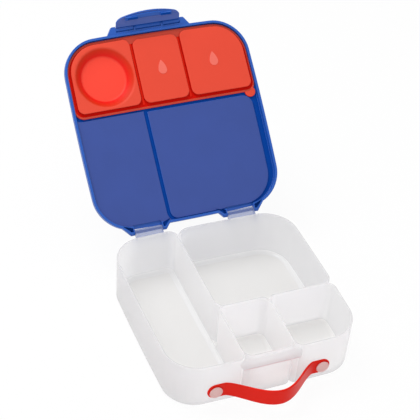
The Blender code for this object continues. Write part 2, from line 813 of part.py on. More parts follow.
def main():
    clear_scene()
    frosted = material("frosted_plastic", (0.86, 0.86, 0.85), 0.35, 0.6)
    blue = material("blue_plastic", (0.055, 0.13, 0.50), 0.32)
    red = material("red_silicone", (0.80, 0.07, 0.03), 0.45)
    hinge = pivot("lid_hinge", (0.0, HINGE_Y, TUB_HEIGHT), -LID_OPEN_ANGLE)
    latch = pivot("latch_hinge", (0.0, LATCH_Y, LATCH_AXIS_RISE), -FLAP_OPEN_ANGLE, hinge)
    build_tub(frosted)
    build_lid(blue, hinge)
    build_seal(red, hinge)
    build_latch(blue, latch)
    build_pins(blue, hinge)
    build_strap(red)
    build_studs(frosted)


if __name__ == "__main__":
    main()
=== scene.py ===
"""Lunch box studio: fine moulded pieces, their finishes and a plain stage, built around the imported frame.

Metres, +Z up, the tub's underside at the origin, the latch and the carry strap at -Y.
What the lid carries is shaped closed, over the tub, and then swung open about the lid's hinge.
"""

import math

import bmesh
import bpy
from bpy.props import FloatProperty, FloatVectorProperty, PointerProperty
from mathutils import Matrix, Vector


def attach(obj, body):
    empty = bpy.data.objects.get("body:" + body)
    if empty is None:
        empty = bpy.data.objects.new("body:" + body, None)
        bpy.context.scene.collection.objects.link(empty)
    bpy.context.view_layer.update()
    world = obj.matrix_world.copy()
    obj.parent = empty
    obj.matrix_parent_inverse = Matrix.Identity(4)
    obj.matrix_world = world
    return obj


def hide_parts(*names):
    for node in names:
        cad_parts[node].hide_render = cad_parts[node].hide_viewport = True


bl_info = {
    "name": "Lunch Box Studio",
    "version": (1, 0, 0),
    "blender": (4, 5, 0),
    "location": "View3D > Sidebar > Lunch Box",
    "description": "Builds the finished pieces of a divided lunch box and its stage",
    "category": "Object",
}

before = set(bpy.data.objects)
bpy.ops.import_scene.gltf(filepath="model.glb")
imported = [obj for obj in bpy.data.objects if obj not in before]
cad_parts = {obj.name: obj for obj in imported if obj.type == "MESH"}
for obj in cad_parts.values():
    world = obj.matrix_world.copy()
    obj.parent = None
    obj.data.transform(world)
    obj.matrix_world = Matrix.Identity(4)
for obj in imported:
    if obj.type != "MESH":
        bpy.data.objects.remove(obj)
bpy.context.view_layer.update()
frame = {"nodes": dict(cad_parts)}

GAP = 0.0003  # clearance between pieces, and how exactly a face's place is tested
EMBED = 0.0010  # how far a shape runs into the one that it joins
OVERSHOOT = 0.0040  # how far a cutter reaches past what it cuts
SIDES = (-1, 1)  # towards the left and the right

CORNER_STEPS = 14  # flats round a plan's corner
SIDE_CUTS = 15  # cuts along a plan's side, so that it can bow
WIDE_STEPS = 8  # flats round a wide edge
ROUND_STEPS = 6  # flats round most edges
SMALL_STEPS = 4  # flats round a narrow edge
BORE_STEPS = 24  # flats round a bore, a stem, an ear or a rib
BAR_STEPS = 40  # flats round a knuckle, a boss or a barrel
DISC_STEPS = 64  # flats round the tab, a drop or a stud's head
BOWL_STEPS = 96  # flats round the bowl
BEND_STEPS = 12  # flats down each bend of the bowl's wall

# Radii of the small edges
FINE_EDGE = 0.0003
CRISP_EDGE = 0.0004
SMALL_EDGE = 0.0005
PLAIN_EDGE = 0.0006
SOFT_EDGE = 0.0007


# Settings


def length(name, description, default):
    """A length that the panel shows in the scene's units."""
    return FloatProperty(name=name, description=description, default=default, unit="LENGTH", precision=5)


def angle(name, description, degrees):
    """An angle, given here in degrees."""
    return FloatProperty(name=name, description=description, default=math.radians(degrees), unit="ROTATION")


def colour(name, description, default):
    """A linear colour."""
    settings = {"subtype": "COLOR", "min": 0.0, "max": 1.0}
    return FloatVectorProperty(name=name, description=description, default=default, **settings)


def ratio(name, description, default):
    """A plain number."""
    return FloatProperty(name=name, description=description, default=default)


def power(name, description, default):
    """A lamp's power in watts."""
    return FloatProperty(name=name, description=description, default=default, unit="POWER")


class TubSizes(bpy.types.PropertyGroup):
    """Sizes of the tub and its compartments."""

    width: length("Width", "Outside width at the rim", 0.2380)
    depth: length("Depth", "Outside depth at the rim, front to back", 0.2360)
    height: length("Height", "Height of the rim", 0.0635)
    corner: length("Corner", "Outside corner radius", 0.0380)
    bow: length("Bow", "How far each side swells at its middle", 0.0022)
    wall: length("Wall", "Thickness of the outer walls", 0.0022)
    divider: length("Divider", "Thickness of the dividers", 0.0019)
    floor: length("Floor", "Thickness of the floors", 0.0026)
    draft: length("Draft", "How far the walls lean in from rim to floor", 0.0012)
    foot: length("Foot", "Radius of the outside bottom edge", 0.0060)
    floor_round: length("Floor round", "Radius between walls and floors", 0.0068)
    rim_round: length("Rim round", "Radius of the rims' edges", 0.00065)
    long_divider: length("Long divider", "Middle of the divider that runs front to back", -0.0308)
    cross_divider: length("Cross divider", "Middle of the divider that runs across", -0.0275)
    short_divider: length("Short divider", "Middle of the divider between the front compartments", 0.0325)
    cell_corner: length("Cell corner", "Corner radius of the compartments at the dividers", 0.0100)
    back_corner: length("Back corner", "Corner radius of the large compartment beside the right wall", 0.0180)
    snack_setback: length("Snack setback", "How far the middle compartment's front stands back", 0.0025)


class LidSizes(bpy.types.PropertyGroup):
    """Sizes of the lid and its hinge."""

    overhang: length("Overhang", "How far the lid reaches past the tub", 0.0052)
    skin: length("Skin", "Thickness of the lid", 0.0020)
    skirt_wall: length("Skirt wall", "Thickness of the skirt", 0.0032)
    top: length("Top", "Height of the lid's top over the rim", 0.0044)
    edge_round: length("Edge round", "Radius of the lid's outside edge", 0.0016)
    skirt: length("Skirt", "How far the skirt hangs below the rim", 0.0030)
    seat: length("Seat", "Height of the panels over the rim", 0.0003)
    channel: length("Channel", "Extra width of the channel beside the large panel", 0.0028)
    curl: length("Curl", "Radius in which the channel between the panels curls away", 0.0095)
    panel_gap: length("Panel gap", "Gap between a panel and its compartment's walls", 0.0014)
    panel_round: length("Panel round", "Radius of the panels' lower edges", 0.0008)
    open_angle: angle("Open angle", "How far the lid stands open", 137.8)
    hinge_backset: length("Hinge backset", "Distance of the hinge behind the tub", 0.0085)
    hinge_spacing: length("Hinge spacing", "Distance between the two knuckles' middles", 0.1236)
    knuckle_length: length("Knuckle length", "Length of each knuckle", 0.0360)
    knuckle_radius: length("Knuckle radius", "Radius of each knuckle", 0.0035)
    pin_radius: length("Pin radius", "Radius of the bore that takes the pin", 0.0017)


class SealSizes(bpy.types.PropertyGroup):
    """Sizes of the soft seal."""

    skin: length("Skin", "Thickness of the seal", 0.0016)
    web: length("Web", "Thickness of the seal between its pads", 0.0010)
    lip: length("Lip", "Width of the raised lip round the seal", 0.0014)
    corner: length("Corner", "Radius of the seal's rear corners", 0.0115)
    pad_drop: length("Pad drop", "How far the pads dip below the rim", 0.0028)
    pad_gap: length("Pad gap", "Gap between a pad and its compartment's walls", 0.0009)
    pad_reach: length("Pad reach", "How much nearer the pads come to the outer walls", 0.0005)
    pad_corner: length("Pad corner", "Corner radius of the pads at the dividers", 0.0094)
    pad_round: length("Pad round", "Radius of the pads' edges", 0.0010)
    lap: length("Lap", "How far the seal laps over the cross divider", 0.0041)
    groove: length("Groove", "Gap between the seal and the panels behind it", 0.0036)
    bowl_rim: length("Bowl rim", "Radius of the bowl's mouth", 0.0402)
    bowl_floor: length("Bowl floor", "Radius of the bowl's flat floor", 0.0262)
    bowl_back: length("Bowl back", "Radius of the bowl's back where it passes the lid", 0.0391)
    bowl_bend: length("Bowl bend", "Radius of the bends at the bowl's mouth and floor", 0.0048)
    bowl_depth: length("Bowl depth", "Depth of the bowl", 0.0088)
    tab_radius: length("Tab radius", "Radius of the pull tab", 0.0072)
    tab_inset: length("Tab inset", "Distance of the tab's middle from the tub's side", 0.0067)
    drop_width: length("Drop width", "Width of the raised drops", 0.0112)
    drop_length: length("Drop length", "Length of the raised drops", 0.0183)
    drop_rise: length("Drop rise", "How far the drops stand up", 0.0004)


class LatchSizes(bpy.types.PropertyGroup):
    """Sizes of the latch, its bracket and its catch."""

    backset: length("Backset", "Distance of the latch's pin in front of the lid", 0.0057)
    rise: length("Rise", "Height of the latch's pin over the rim", 0.0015)
    barrel: length("Barrel", "Radius of the flap's barrel", 0.0027)
    pin_radius: length("Pin radius", "Radius of the bore that takes the pin", 0.0015)
    pin_cover: length("Pin cover", "Plastic left past the pin's ends", 0.0020)
    width: length("Width", "Width of the flap", 0.0850)
    shift: length("Shift", "How far the latch stands to the right of the lid's middle", -0.0028)
    length: length("Length", "Length of the flap at its middle", 0.0240)
    arch: length("Arch", "How much shorter the flap is at its sides", 0.0080)
    skin: length("Skin", "Thickness of the flap", 0.0020)
    corner: length("Corner", "Radius of the flap's corners", 0.0080)
    lean: angle("Lean", "How far the closed flap leans in", 9.0)
    open_angle: angle("Open angle", "How far the flap stands open", 50.0)
    cheek: length("Cheek", "Width of the bracket beside the flap", 0.0060)
    flare: length("Flare", "How far the bracket widens towards the lid", 0.0080)
    reach: length("Reach", "How far the bracket stands out", 0.0100)
    bracket_height: length("Bracket height", "Thickness of the bracket", 0.0054)
    slot_back: length("Slot back", "Depth of the bracket's slot left at the lid", 0.0024)
    rib_x: length("Rib place", "Distance of each rib from the middle", 0.0183)
    rib_width: length("Rib width", "Width of each rib", 0.0024)
    catch_width: length("Catch width", "Width of the ridge that the hooks bite under", 0.0760)
    catch_reach: length("Catch reach", "How far the ridge stands out", 0.0042)
    catch_drop: length("Catch drop", "Distance of the ridge's lower edge below the rim", 0.0135)
    catch_height: length("Catch height", "Height of the ridge", 0.0080)
    hook_x: length("Hook place", "Distance of each hook from the middle", 0.0220)
    hook_width: length("Hook width", "Width of each hook", 0.0140)
    hook_bite: length("Hook bite", "How far a hook reaches under the ridge", 0.0014)
    bead_width: length("Bead width", "Width of the flap's stiffening bead", 0.0620)
    bead_reach: length("Bead reach", "How far the bead stands up", 0.0028)
    bead_height: length("Bead height", "Height of the bead", 0.0058)
    hook_height: length("Hook height", "Height of each hook", 0.0034)


class StrapSizes(bpy.types.PropertyGroup):
    """Sizes of the carry strap and its studs."""

    stud_x: length("Stud place", "Distance of each stud from the middle", 0.0670)
    stud_z: length("Stud height", "Height of the studs", 0.0236)
    head: length("Head", "Radius of a stud's head", 0.0080)
    head_thickness: length("Head thickness", "Thickness of a stud's head", 0.0018)
    stem: length("Stem", "Radius of a stud's stem", 0.0020)
    boss: length("Boss", "Radius of the boss under a stud", 0.0042)
    thickness: length("Thickness", "Thickness of the strap", 0.0024)
    height: length("Height", "Height of the strap", 0.0198)
    bulge: length("Bulge", "How far the strap stands off the tub", 0.0314)
    bulge_x: length("Bulge place", "Where the strap stands off furthest", 0.0029)
    bulge_left: length("Bulge left", "Reach of the bulge to the left", 0.0585)
    bulge_right: length("Bulge right", "Reach of the bulge to the right", 0.0526)
    grip: ratio("Grip", "How much thicker and taller the strap's middle is", 0.13)
    fullness: ratio("Fullness", "Below 1 the bulge is rounder", 0.71)


class Finishes(bpy.types.PropertyGroup):
    """Colours of the mouldings, as linear values."""

    frosted: colour("Frosted", "Walls of the frosted tub", (0.915, 0.911, 0.914))
    # Painted light and shade on one plastic: floor, small_floor and inside are lighter copies of the walls'
    # colour for the light on the floors and into the small compartments, and outside is a darker copy for the
    # shade on the outer walls
    floor: colour("Floor", "Floors of the frosted tub", (0.975, 0.966, 0.945))
    outside: colour("Outside", "Outer walls of the tub", (0.878, 0.872, 0.874))
    small_floor: colour("Small floor", "Floors of the two small compartments", (0.990, 0.982, 0.960))
    inside: colour("Inside", "Walls inside the small compartments", (0.990, 0.985, 0.982))
    # Painted highlight: the fillets round the floors are painted near white and made glossier to show the
    # lamp's glint
    fillet: colour("Fillet", "Fillets round the floors", (0.980, 0.980, 0.975))
    panel: colour("Panel", "Grained panels of the lid", (0.025, 0.060, 0.280))
    flap: colour("Flap", "Grained flap of the latch", (0.060, 0.120, 0.412))
    blue: colour("Blue", "Smooth rims, hinge ears and latch", (0.014, 0.092, 0.430))
    # Painted shade: a darker blue for the shade in the lid's channels and pockets and under the latch's bead
    # and hooks
    blue_channel: colour("Blue channel", "Channels round the panels", (0.001, 0.052, 0.310))
    # Painted light through and off the frosted plastic: the knuckles painted blue for the pins seen inside
    # them, the catch's edge painted pink for the strap's light reflected onto it, and the studs painted pink
    # for the strap seen through them
    knuckle: colour("Knuckle", "Hinge knuckles, tinted by the pins inside", (0.205, 0.268, 0.540))
    catch: colour("Catch", "Catch's lower edge, tinted by the strap below it", (0.760, 0.600, 0.630))
    stud: colour("Stud", "Studs, tinted by the strap under them", (0.960, 0.690, 0.665))
    red: colour("Red", "Seal", (0.740, 0.066, 0.034))
    # Painted light in the bowl: its wall painted darker as shade, and its floor painted brighter as light
    # glowing through the silicone
    wall: colour("Bowl wall", "Upper part of the bowl's wall", (0.590, 0.030, 0.002))
    bend: colour("Bowl bend", "Lower part of the bowl's wall", (0.740, 0.005, 0.001))
    bowl: colour("Bowl floor", "Floor of the bowl", (0.880, 0.060, 0.034))
    # Painted shade: darker reds between the pads, on the bars and on the lip, where the raised pads shade the
    # seal
    channel: colour("Channel", "Seal between its pads", (0.600, 0.005, 0.001))
    frame: colour("Frame", "Seal's bars over the dividers", (0.700, 0.014, 0.003))
    lip: colour("Lip", "Seal's lip and front bar", (0.520, 0.054, 0.030))
    drop: colour("Drop", "Raised drops", (0.790, 0.135, 0.095))
    strap: colour("Strap", "Carry strap", (0.740, 0.012, 0.004))


class StageSettings(bpy.types.PropertyGroup):
    """The lamps and the floor."""

    key: power("Key", "Strength of the lamp overhead", 13.0)
    fill: power("Fill", "Strength of the lamp in front", 4.6)
    sky: ratio("Sky", "Brightness of the room around the box", 0.70)
    floor: length("Floor", "Side of the floor", 12.0)
    floor_shift: length("Floor shift", "How far the floor stands to the right of the box", 2.0)
    floor_drop: length("Floor drop", "Gap between the floor and the tub's underside", 0.0002)


class LunchBox(bpy.types.PropertyGroup):
    """All of the lunch box's settings."""

    tub: PointerProperty(type=TubSizes)
    lid: PointerProperty(type=LidSizes)
    seal: PointerProperty(type=SealSizes)
    latch: PointerProperty(type=LatchSizes)
    strap: PointerProperty(type=StrapSizes)
    finishes: PointerProperty(type=Finishes)
    stage: PointerProperty(type=StageSettings)


# Derived places


def hinge_y(box):
    """y of the lid's hinge."""
    return box.tub.depth / 2 + box.lid.hinge_backset


def lid_inner(box):
    """Height of the lid's inner face over the rim."""
    return box.lid.top - box.lid.skin


def lid_front(box):
    """y of the closed lid's front edge."""
    return -box.tub.depth / 2 - box.lid.overhang


def seal_edge(box):
    """y of the seal's rear edge, on the closed lid."""
    return box.tub.cross_divider + box.seal.lap


def stud_face(box):
    """y of the front wall's outer face where the studs sit."""
    tub, strap = box.tub, box.strap
    face = tub.depth / 2 - tub.bow * (strap.stud_x / (tub.width / 2)) ** 2
    return -face * lean_at(tub, strap.stud_z)


def strap_back(box):
    """y of the strap's inner face at the studs."""
    return stud_face(box) - 2 * GAP


def plan_box(tub):
    """The straight-sided plan that the bow swells to the tub's size."""
    half_w, half_d = tub.width / 2 - tub.bow, tub.depth / 2 - tub.bow
    return (-half_w, -half_d, half_w, half_d)


def cells(tub):
    """Each compartment's plan and corner radii.

    A plan is (left, front, right, back), and its radii go anticlockwise from the front left.
    """
    half = tub.divider / 2
    left, front, right, back = plan_box(tub)
    left, front, right, back = left + tub.wall, front + tub.wall, right - tub.wall, back - tub.wall
    outer, small = tub.corner - tub.wall, tub.cell_corner
    long_right, middle_left = tub.long_divider - half, tub.long_divider + half
    middle_right, corner_left = tub.short_divider - half, tub.short_divider + half
    near, far = tub.cross_divider - half, tub.cross_divider + half
    return {
        "long": ((left, front, long_right, back), (outer, small, small, outer)),
        "large": ((middle_left, far, right, back), (small, small, outer, tub.back_corner)),
        "snack": ((middle_left, front + tub.snack_setback, middle_right, near), (small,) * 4),
        "corner": ((corner_left, front, right, near), (small, outer, small, small)),
    }


def panels(box):
    """Plans and radii of the lid's two panels, over the rear compartments."""
    plans = cells(box.tub)
    front = seal_edge(box) + box.seal.groove - box.lid.panel_gap
    (left, _, right, back), (_, _, inner, outer) = plans["long"]
    small = box.tub.cell_corner
    long_panel = ((left, front, right, back), (small, small, inner, outer))
    (left, _, right, back), (_, _, outer, inner) = plans["large"]
    right -= box.lid.channel
    across = right - (box.tub.width / 2 - box.seal.tab_inset)
    along = front - seal_edge(box)
    reach = across - along + box.seal.tab_radius
    round_tab = reach + math.sqrt(reach**2 - across**2 - along**2 + box.seal.tab_radius**2)
    return long_panel, ((left, front, right, back), (small, round_tab, outer, inner))


def pads(box):
    """Plans and radii of the seal's three pads, over the front compartments."""
    plans = cells(box.tub)
    out, small = box.seal.pad_reach, box.seal.pad_corner
    (left, front, right, _), (outer, _, _, _) = plans["long"]
    back = box.tub.cross_divider - box.tub.divider / 2
    long_pad = ((left - out, front - out, right, back), (outer, small, small, small))
    (left, front, right, back), _ = plans["snack"]
    snack_pad = ((left, front - out, right, back), (small,) * 4)
    (left, front, right, back), (_, outer, _, _) = plans["corner"]
    corner_pad = ((left, front - out, right + out, back), (small, outer, small, small))
    return long_pad, snack_pad, corner_pad


def bowl_centre(tub):
    """x and y of the bowl's middle, in front of the cross divider."""
    left, front, right, _ = cells(tub)["long"][0]
    return (left + right) / 2, (front + tub.cross_divider - tub.divider / 2) / 2


def seal_plan(box):
    """Plan and radii of the seal's outline, before it is grown out to the skirt."""
    left, front, right, _ = plan_box(box.tub)
    grow = seal_grow(box)
    corner = box.seal.corner - grow
    outer = box.tub.corner
    return (left, front + 2 * GAP, right, seal_edge(box) - grow), (outer, outer, corner, corner)


def seal_grow(box):
    """How far the seal reaches past the tub."""
    return box.lid.overhang - box.lid.skirt_wall - GAP


# Shapes


def outwards(shape):
    """Turns the faces of a closed shape outwards."""
    bmesh.ops.recalc_face_normals(shape, faces=shape.faces)
    return shape


def move(shape, by):
    """Moves a whole shape."""
    bmesh.ops.translate(shape, verts=shape.verts, vec=by)
    return shape


def tilt(shape, turn):
    """Turns a whole shape about the X axis."""
    bmesh.ops.rotate(shape, verts=shape.verts, matrix=Matrix.Rotation(turn, 3, "X"))
    return shape


def pull(shape, face, run):
    """Makes a solid from a shape of one flat face, which stays as its near end."""
    made = bmesh.ops.extrude_face_region(shape, geom=[face])["geom"]
    verts = [item for item in made if isinstance(item, bmesh.types.BMVert)]
    bmesh.ops.translate(shape, vec=run, verts=verts)
    outwards(shape)


def slice_across(shape, half, parts):
    """Cuts a shape at even places along X, from -half to half, so that it can bend."""
    for step in range(1, parts):
        place_x = half * (2 * step / parts - 1)
        geometry = shape.verts[:] + shape.edges[:] + shape.faces[:]
        cut = {"plane_co": (place_x, 0, 0), "plane_no": (1, 0, 0)}
        bmesh.ops.bisect_plane(shape, geom=geometry, dist=0.0, **cut)


def front_edges(shape, axis, longer, back):
    """Edges that run along an axis (0 is X and 2 is Z) for more than a length, in front of y = back."""
    ends = [(edge, edge.verts[0].co, edge.verts[1].co) for edge in shape.edges]
    return [edge for edge, start, end in ends if abs(start[axis] - end[axis]) > longer and start.y < back]


def lean_at(tub, height):
    """How much the tub's plan is drawn in at a height, by its draft."""
    return 1 - tub.draft / (tub.width / 2) * (1 - height / tub.height)


def bow(shape, tub):
    """Swells a straight-sided shape to the tub's gently bowed plan."""
    half_w, half_d = tub.width / 2, tub.depth / 2
    for vert in shape.verts:
        x, y, _ = vert.co
        across, along = min(abs(x) / half_w, 1.0), min(abs(y) / half_d, 1.0)
        vert.co.x += tub.bow * (x / half_w) * (1 - along**2)
        vert.co.y += tub.bow * (y / half_d) * (1 - across**2)


def lean(shape, tub):
    """Draws a shape in towards the floor, by the walls' draft."""
    for vert in shape.verts:
        factor = lean_at(tub, vert.co.z)
        vert.co.x *= factor
        vert.co.y *= factor


def rounded_plate(shape, plan, radii, grow, height, cuts=SIDE_CUTS):
    """Adds a flat face with four rounded corners, grown all round."""
    left, front, right, back = plan
    before = set(shape.faces)
    spots = (
        (left - grow, front - grow),
        (right + grow, front - grow),
        (right + grow, back + grow),
        (left - grow, back + grow),
    )
    corners = [shape.verts.new((x, y, height)) for x, y in spots]
    bmesh.ops.contextual_create(shape, geom=corners)
    for vert, radius in zip(corners, radii):
        bmesh.ops.bevel(
            shape,
            geom=[vert],
            offset=max(radius + grow, GAP),
            offset_type="OFFSET",
            segments=CORNER_STEPS,
            profile=0.5,
            affect="VERTICES",
            material=-1,
        )
    (face,) = [face for face in shape.faces if face not in before]
    if cuts:
        sides = sorted(face.edges, key=lambda edge: edge.calc_length())[-4:]
        bmesh.ops.bisect_edges(shape, edges=sides, cuts=cuts)
    return face


def stack(plan, radii, levels, cuts=SIDE_CUTS):
    """A closed solid through rounded plates, one for each (grow, height)."""
    shape = bmesh.new()
    loops = []
    for grow, height in levels:
        face = rounded_plate(shape, plan, radii, grow, height, cuts)
        loops.append(list(face.edges))
        bmesh.ops.delete(shape, geom=[face], context="FACES_ONLY")
    for low, high in zip(loops, loops[1:]):
        bmesh.ops.bridge_loops(shape, edges=low + high)
    for end in (loops[0], loops[-1]):
        bmesh.ops.edgeloop_fill(shape, edges=end)
    return outwards(shape)


def bowed(tub, plan, radii, levels):
    """A stack whose sides swell as the tub's do."""
    shape = stack(plan, radii, levels)
    bow(shape, tub)
    return shape


def round_low(grow, height, radius, steps=ROUND_STEPS):
    """Levels of a rounded bottom edge, from its flat up to where the side starts."""
    turns = [math.pi / 2 * step / steps for step in range(steps + 1)]
    spots = [(1 - math.sin(turn), 1 - math.cos(turn)) for turn in turns]
    return [(grow - radius * inset, height + radius * rise) for inset, rise in spots]


def round_high(grow, height, radius, steps=ROUND_STEPS):
    """Levels of a rounded top edge, from where the side ends to its flat."""
    levels = reversed(round_low(grow, height, radius, steps))
    return [(inset, 2 * height - level) for inset, level in levels]


def flare_high(grow, height, radius, steps=ROUND_STEPS):
    """Levels of a cutter that leaves a rounded edge round the opening it cuts, at height.

    The round stops a little short of level, so that the cutter's side still crosses the face.
    """
    turns = [math.radians(84) * step / steps for step in range(steps + 1)]
    spots = [(1 - math.cos(turn), 1 - math.sin(turn)) for turn in turns]
    return [(grow + radius * out, height - radius * drop) for out, drop in spots]


def flare_low(grow, height, radius, steps=ROUND_STEPS):
    """The same, for an opening that faces down."""
    levels = reversed(flare_high(grow, height, radius, steps))
    return [(out, 2 * height - level) for out, level in levels]


def block(corners, run):
    """A solid from a flat face of a few corners, pulled out along run."""
    shape = bmesh.new()
    verts = [shape.verts.new(corner) for corner in corners]
    (face,) = bmesh.ops.contextual_create(shape, geom=verts)["faces"]
    pull(shape, face, run)
    return shape


def upright(plan, low, high):
    """A solid that stands on a plan of a few (x, y) corners."""
    return block([(*point, low) for point in plan], (0, 0, high - low))


def crosswise(profile, middle, half):
    """A solid that runs along X with a profile of a few (y, z) corners."""
    return block([(middle - half, *point) for point in profile], (2 * half, 0, 0))


def box_shape(low, high):
    """A box between its lowest and highest corners."""
    (left, front, bottom), (right, back, top) = low, high
    return upright([(left, front), (right, front), (right, back), (left, back)], bottom, top)


def round_edges(shape, width, segments=3, sharper=30.0, edges=None):
    """Rounds the given edges, or all that turn by more than an angle."""
    if edges is None:
        edges = [e for e in shape.edges if e.is_manifold and e.calc_face_angle(0.0) > math.radians(sharper)]
    bmesh.ops.bevel(
        shape,
        geom=edges,
        offset=width,
        offset_type="OFFSET",
        segments=segments,
        profile=0.5,
        affect="EDGES",
        clamp_overlap=True,
        material=-1,
    )
    return shape


def bar(radius, start, end, segments=BORE_STEPS, edge=0.0):
    """A round bar between two points, with its ends' edges rounded by edge."""
    start, end = Vector(start), Vector(end)
    run = end - start
    shape = bmesh.new()
    turn = Vector((0, 0, 1)).rotation_difference(run).to_matrix().to_4x4()
    bmesh.ops.create_cone(
        shape,
        cap_ends=True,
        segments=segments,
        radius1=radius,
        radius2=radius,
        depth=run.length,
        matrix=Matrix.Translation((start + end) / 2) @ turn,
    )
    if edge:
        round_edges(shape, edge, 3, 60.0)
    return shape


def bar_along_x(radius, spot, half, segments=BORE_STEPS, edge=0.0):
    """A round bar along X, with its middle at a spot."""
    x, y, z = spot
    return bar(radius, (x - half, y, z), (x + half, y, z), segments, edge)


def turned(profile, centre):
    """A solid turned about a vertical axis from (radius, height) points that start and end on it."""
    shape = bmesh.new()
    verts = [shape.verts.new((radius, 0.0, height)) for radius, height in profile]
    edges = [shape.edges.new(pair) for pair in zip(verts, verts[1:])]
    bmesh.ops.spin(
        shape,
        geom=verts + edges,
        cent=(0, 0, 0),
        axis=(0, 0, 1),
        angle=2 * math.pi,
        steps=BOWL_STEPS,
        use_merge=True,
    )
    bmesh.ops.remove_doubles(shape, verts=shape.verts, dist=0.00001)
    return move(outwards(shape), (*centre, 0.0))


def hull(points):
    """The tight skin round all the given points."""
    shape = bmesh.new()
    for point in points:
        shape.verts.new(point)
    made = bmesh.ops.convex_hull(shape, input=shape.verts)
    spare = made["geom_interior"] + made["geom_unused"]
    spare = {item for item in spare if isinstance(item, bmesh.types.BMVert)}
    bmesh.ops.delete(shape, geom=list(spare), context="VERTS")
    return outwards(shape)


def circle_points(x, y, z, radius):
    """Points round a circle that faces along X."""
    turns = [2 * math.pi * step / BORE_STEPS for step in range(BORE_STEPS)]
    return [(x, y + radius * math.cos(turn), z + radius * math.sin(turn)) for turn in turns]


def join(shapes):
    """Puts separate shapes that don't touch into one."""
    whole = bmesh.new()
    for shape in shapes:
        mesh = bpy.data.meshes.new("part")
        shape.to_mesh(mesh)
        shape.free()
        whole.from_mesh(mesh)
        bpy.data.meshes.remove(mesh)
    return whole


# Pieces


def new_object(name, shape):
    """An object in the scene, made from a shape, which is then freed."""
    mesh = bpy.data.meshes.new(name)
    shape.to_mesh(mesh)
    shape.free()
    item = bpy.data.objects.new(name, mesh)
    bpy.context.scene.collection.objects.link(item)
    return item


def carve(name, shape, steps=()):
    """An object made from a shape by Boolean steps, which are then applied."""
    item = new_object(name, shape)
    spent = [item.data]
    for operation, tool in steps:
        cutter = new_object(f"{name}_tool", tool)
        step = item.modifiers.new(operation, "BOOLEAN")
        step.operation = operation
        step.object = cutter
        step.solver = "MANIFOLD"
        spent.append(cutter.data)
    graph = bpy.context.evaluated_depsgraph_get()
    solved = bpy.data.meshes.new_from_object(item.evaluated_get(graph), depsgraph=graph)
    item.modifiers.clear()
    item.data = solved
    item.data.name = name
    item.data.materials.clear()
    for mesh in spent:
        bpy.data.meshes.remove(mesh)
    clean = bmesh.new()
    clean.from_mesh(item.data)
    bmesh.ops.remove_doubles(clean, verts=clean.verts, dist=0.000015)
    bmesh.ops.dissolve_degenerate(clean, edges=clean.edges, dist=0.000005)
    if not clean.faces or any(not edge.is_manifold for edge in clean.edges):
        raise RuntimeError(f"{name} has open edges")
    clean.to_mesh(item.data)
    clean.free()
    return item


def solid(name, shape, steps):
    """A shape made by Boolean steps, to be used in another piece."""
    item = carve(name, shape, steps)
    made = bmesh.new()
    made.from_mesh(item.data)
    bpy.data.meshes.remove(item.data)
    return made


def place(item, matrix):
    """Puts the mesh itself where the piece stands, so that the object stays at the origin."""
    item.data.transform(matrix)
    return item


def sort_faces(item, kinds, kind_of):
    """Gives each face the finish that kind_of names for its middle, its normal and its area."""
    for flat in item.data.polygons:
        flat.material_index = kinds.index(kind_of(flat.center, flat.normal, flat.area))


def finish(item, body, materials, nodes=()):
    """Shades a piece, gives it its materials, and ties it to its body and its nodes."""
    for material in materials:
        item.data.materials.append(material)
    item.data.shade_smooth()
    item.data.set_sharp_from_angle(angle=math.radians(32))
    weigh = item.modifiers.new("even shading", "WEIGHTED_NORMAL")
    weigh.mode = "FACE_AREA_WITH_ANGLE"
    weigh.keep_sharp = True
    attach(item, body)
    if nodes:
        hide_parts(*nodes)


def open_lid(box):
    """From the closed lid over the tub, its rim at z = 0, to the open one."""
    hinge = hinge_y(box)
    swing = Matrix.Rotation(-box.lid.open_angle, 4, "X")
    return Matrix.Translation((0, hinge, box.tub.height)) @ swing @ Matrix.Translation((0, -hinge, 0))


def open_latch(box):
    """From the latch about its own pin to the open one on the open lid."""
    pin = Matrix.Translation((0, lid_front(box) - box.latch.backset, box.latch.rise))
    return open_lid(box) @ pin @ Matrix.Rotation(-box.latch.open_angle, 4, "X")


# Materials


class Wire:
    """A socket of a material, on which sums are written as on a number."""

    def __init__(self, tree, socket):
        self.tree = tree
        self.socket = socket

    def node(self, kind, settings=None, sockets=None, out=0):
        """Adds a node: its settings first, then its sockets' values or links. Returns an output."""
        node = self.tree.nodes.new(kind)
        for name, value in (settings or {}).items():
            if name == "stops":
                ramp = node.color_ramp.elements
                while len(ramp) < len(value):
                    ramp.new(0.5)
                for element, (position, shade) in zip(ramp, value):
                    element.position, element.color = position, (*shade, 1.0)
            else:
                setattr(node, name, value)
        for name, value in (sockets or {}).items():
            if isinstance(value, Wire):
                self.tree.links.new(value.socket, node.inputs[name])
            else:
                node.inputs[name].default_value = value
        return Wire(self.tree, node.outputs[out] if node.outputs else None)

    def sum(self, operation, first, second):
        """Adds the Math node for an operation on two values."""
        return self.node("ShaderNodeMath", {"operation": operation}, {0: first, 1: second})

    def __add__(self, other):
        return self.sum("ADD", self, other)

    def __radd__(self, other):
        return self.sum("ADD", other, self)

    def __sub__(self, other):
        return self.sum("SUBTRACT", self, other)

    def __rsub__(self, other):
        return self.sum("SUBTRACT", other, self)

    def __mul__(self, other):
        return self.sum("MULTIPLY", self, other)

    def __rmul__(self, other):
        return self.sum("MULTIPLY", other, self)


def cleared(owner):
    """A wire to start from, in the emptied nodes of a material or a world."""
    owner.use_nodes = True
    owner.node_tree.nodes.clear()
    return Wire(owner.node_tree, None)


def blank(name):
    """A material with no nodes, and a wire to start from."""
    material = bpy.data.materials.new(name)
    return material, cleared(material)


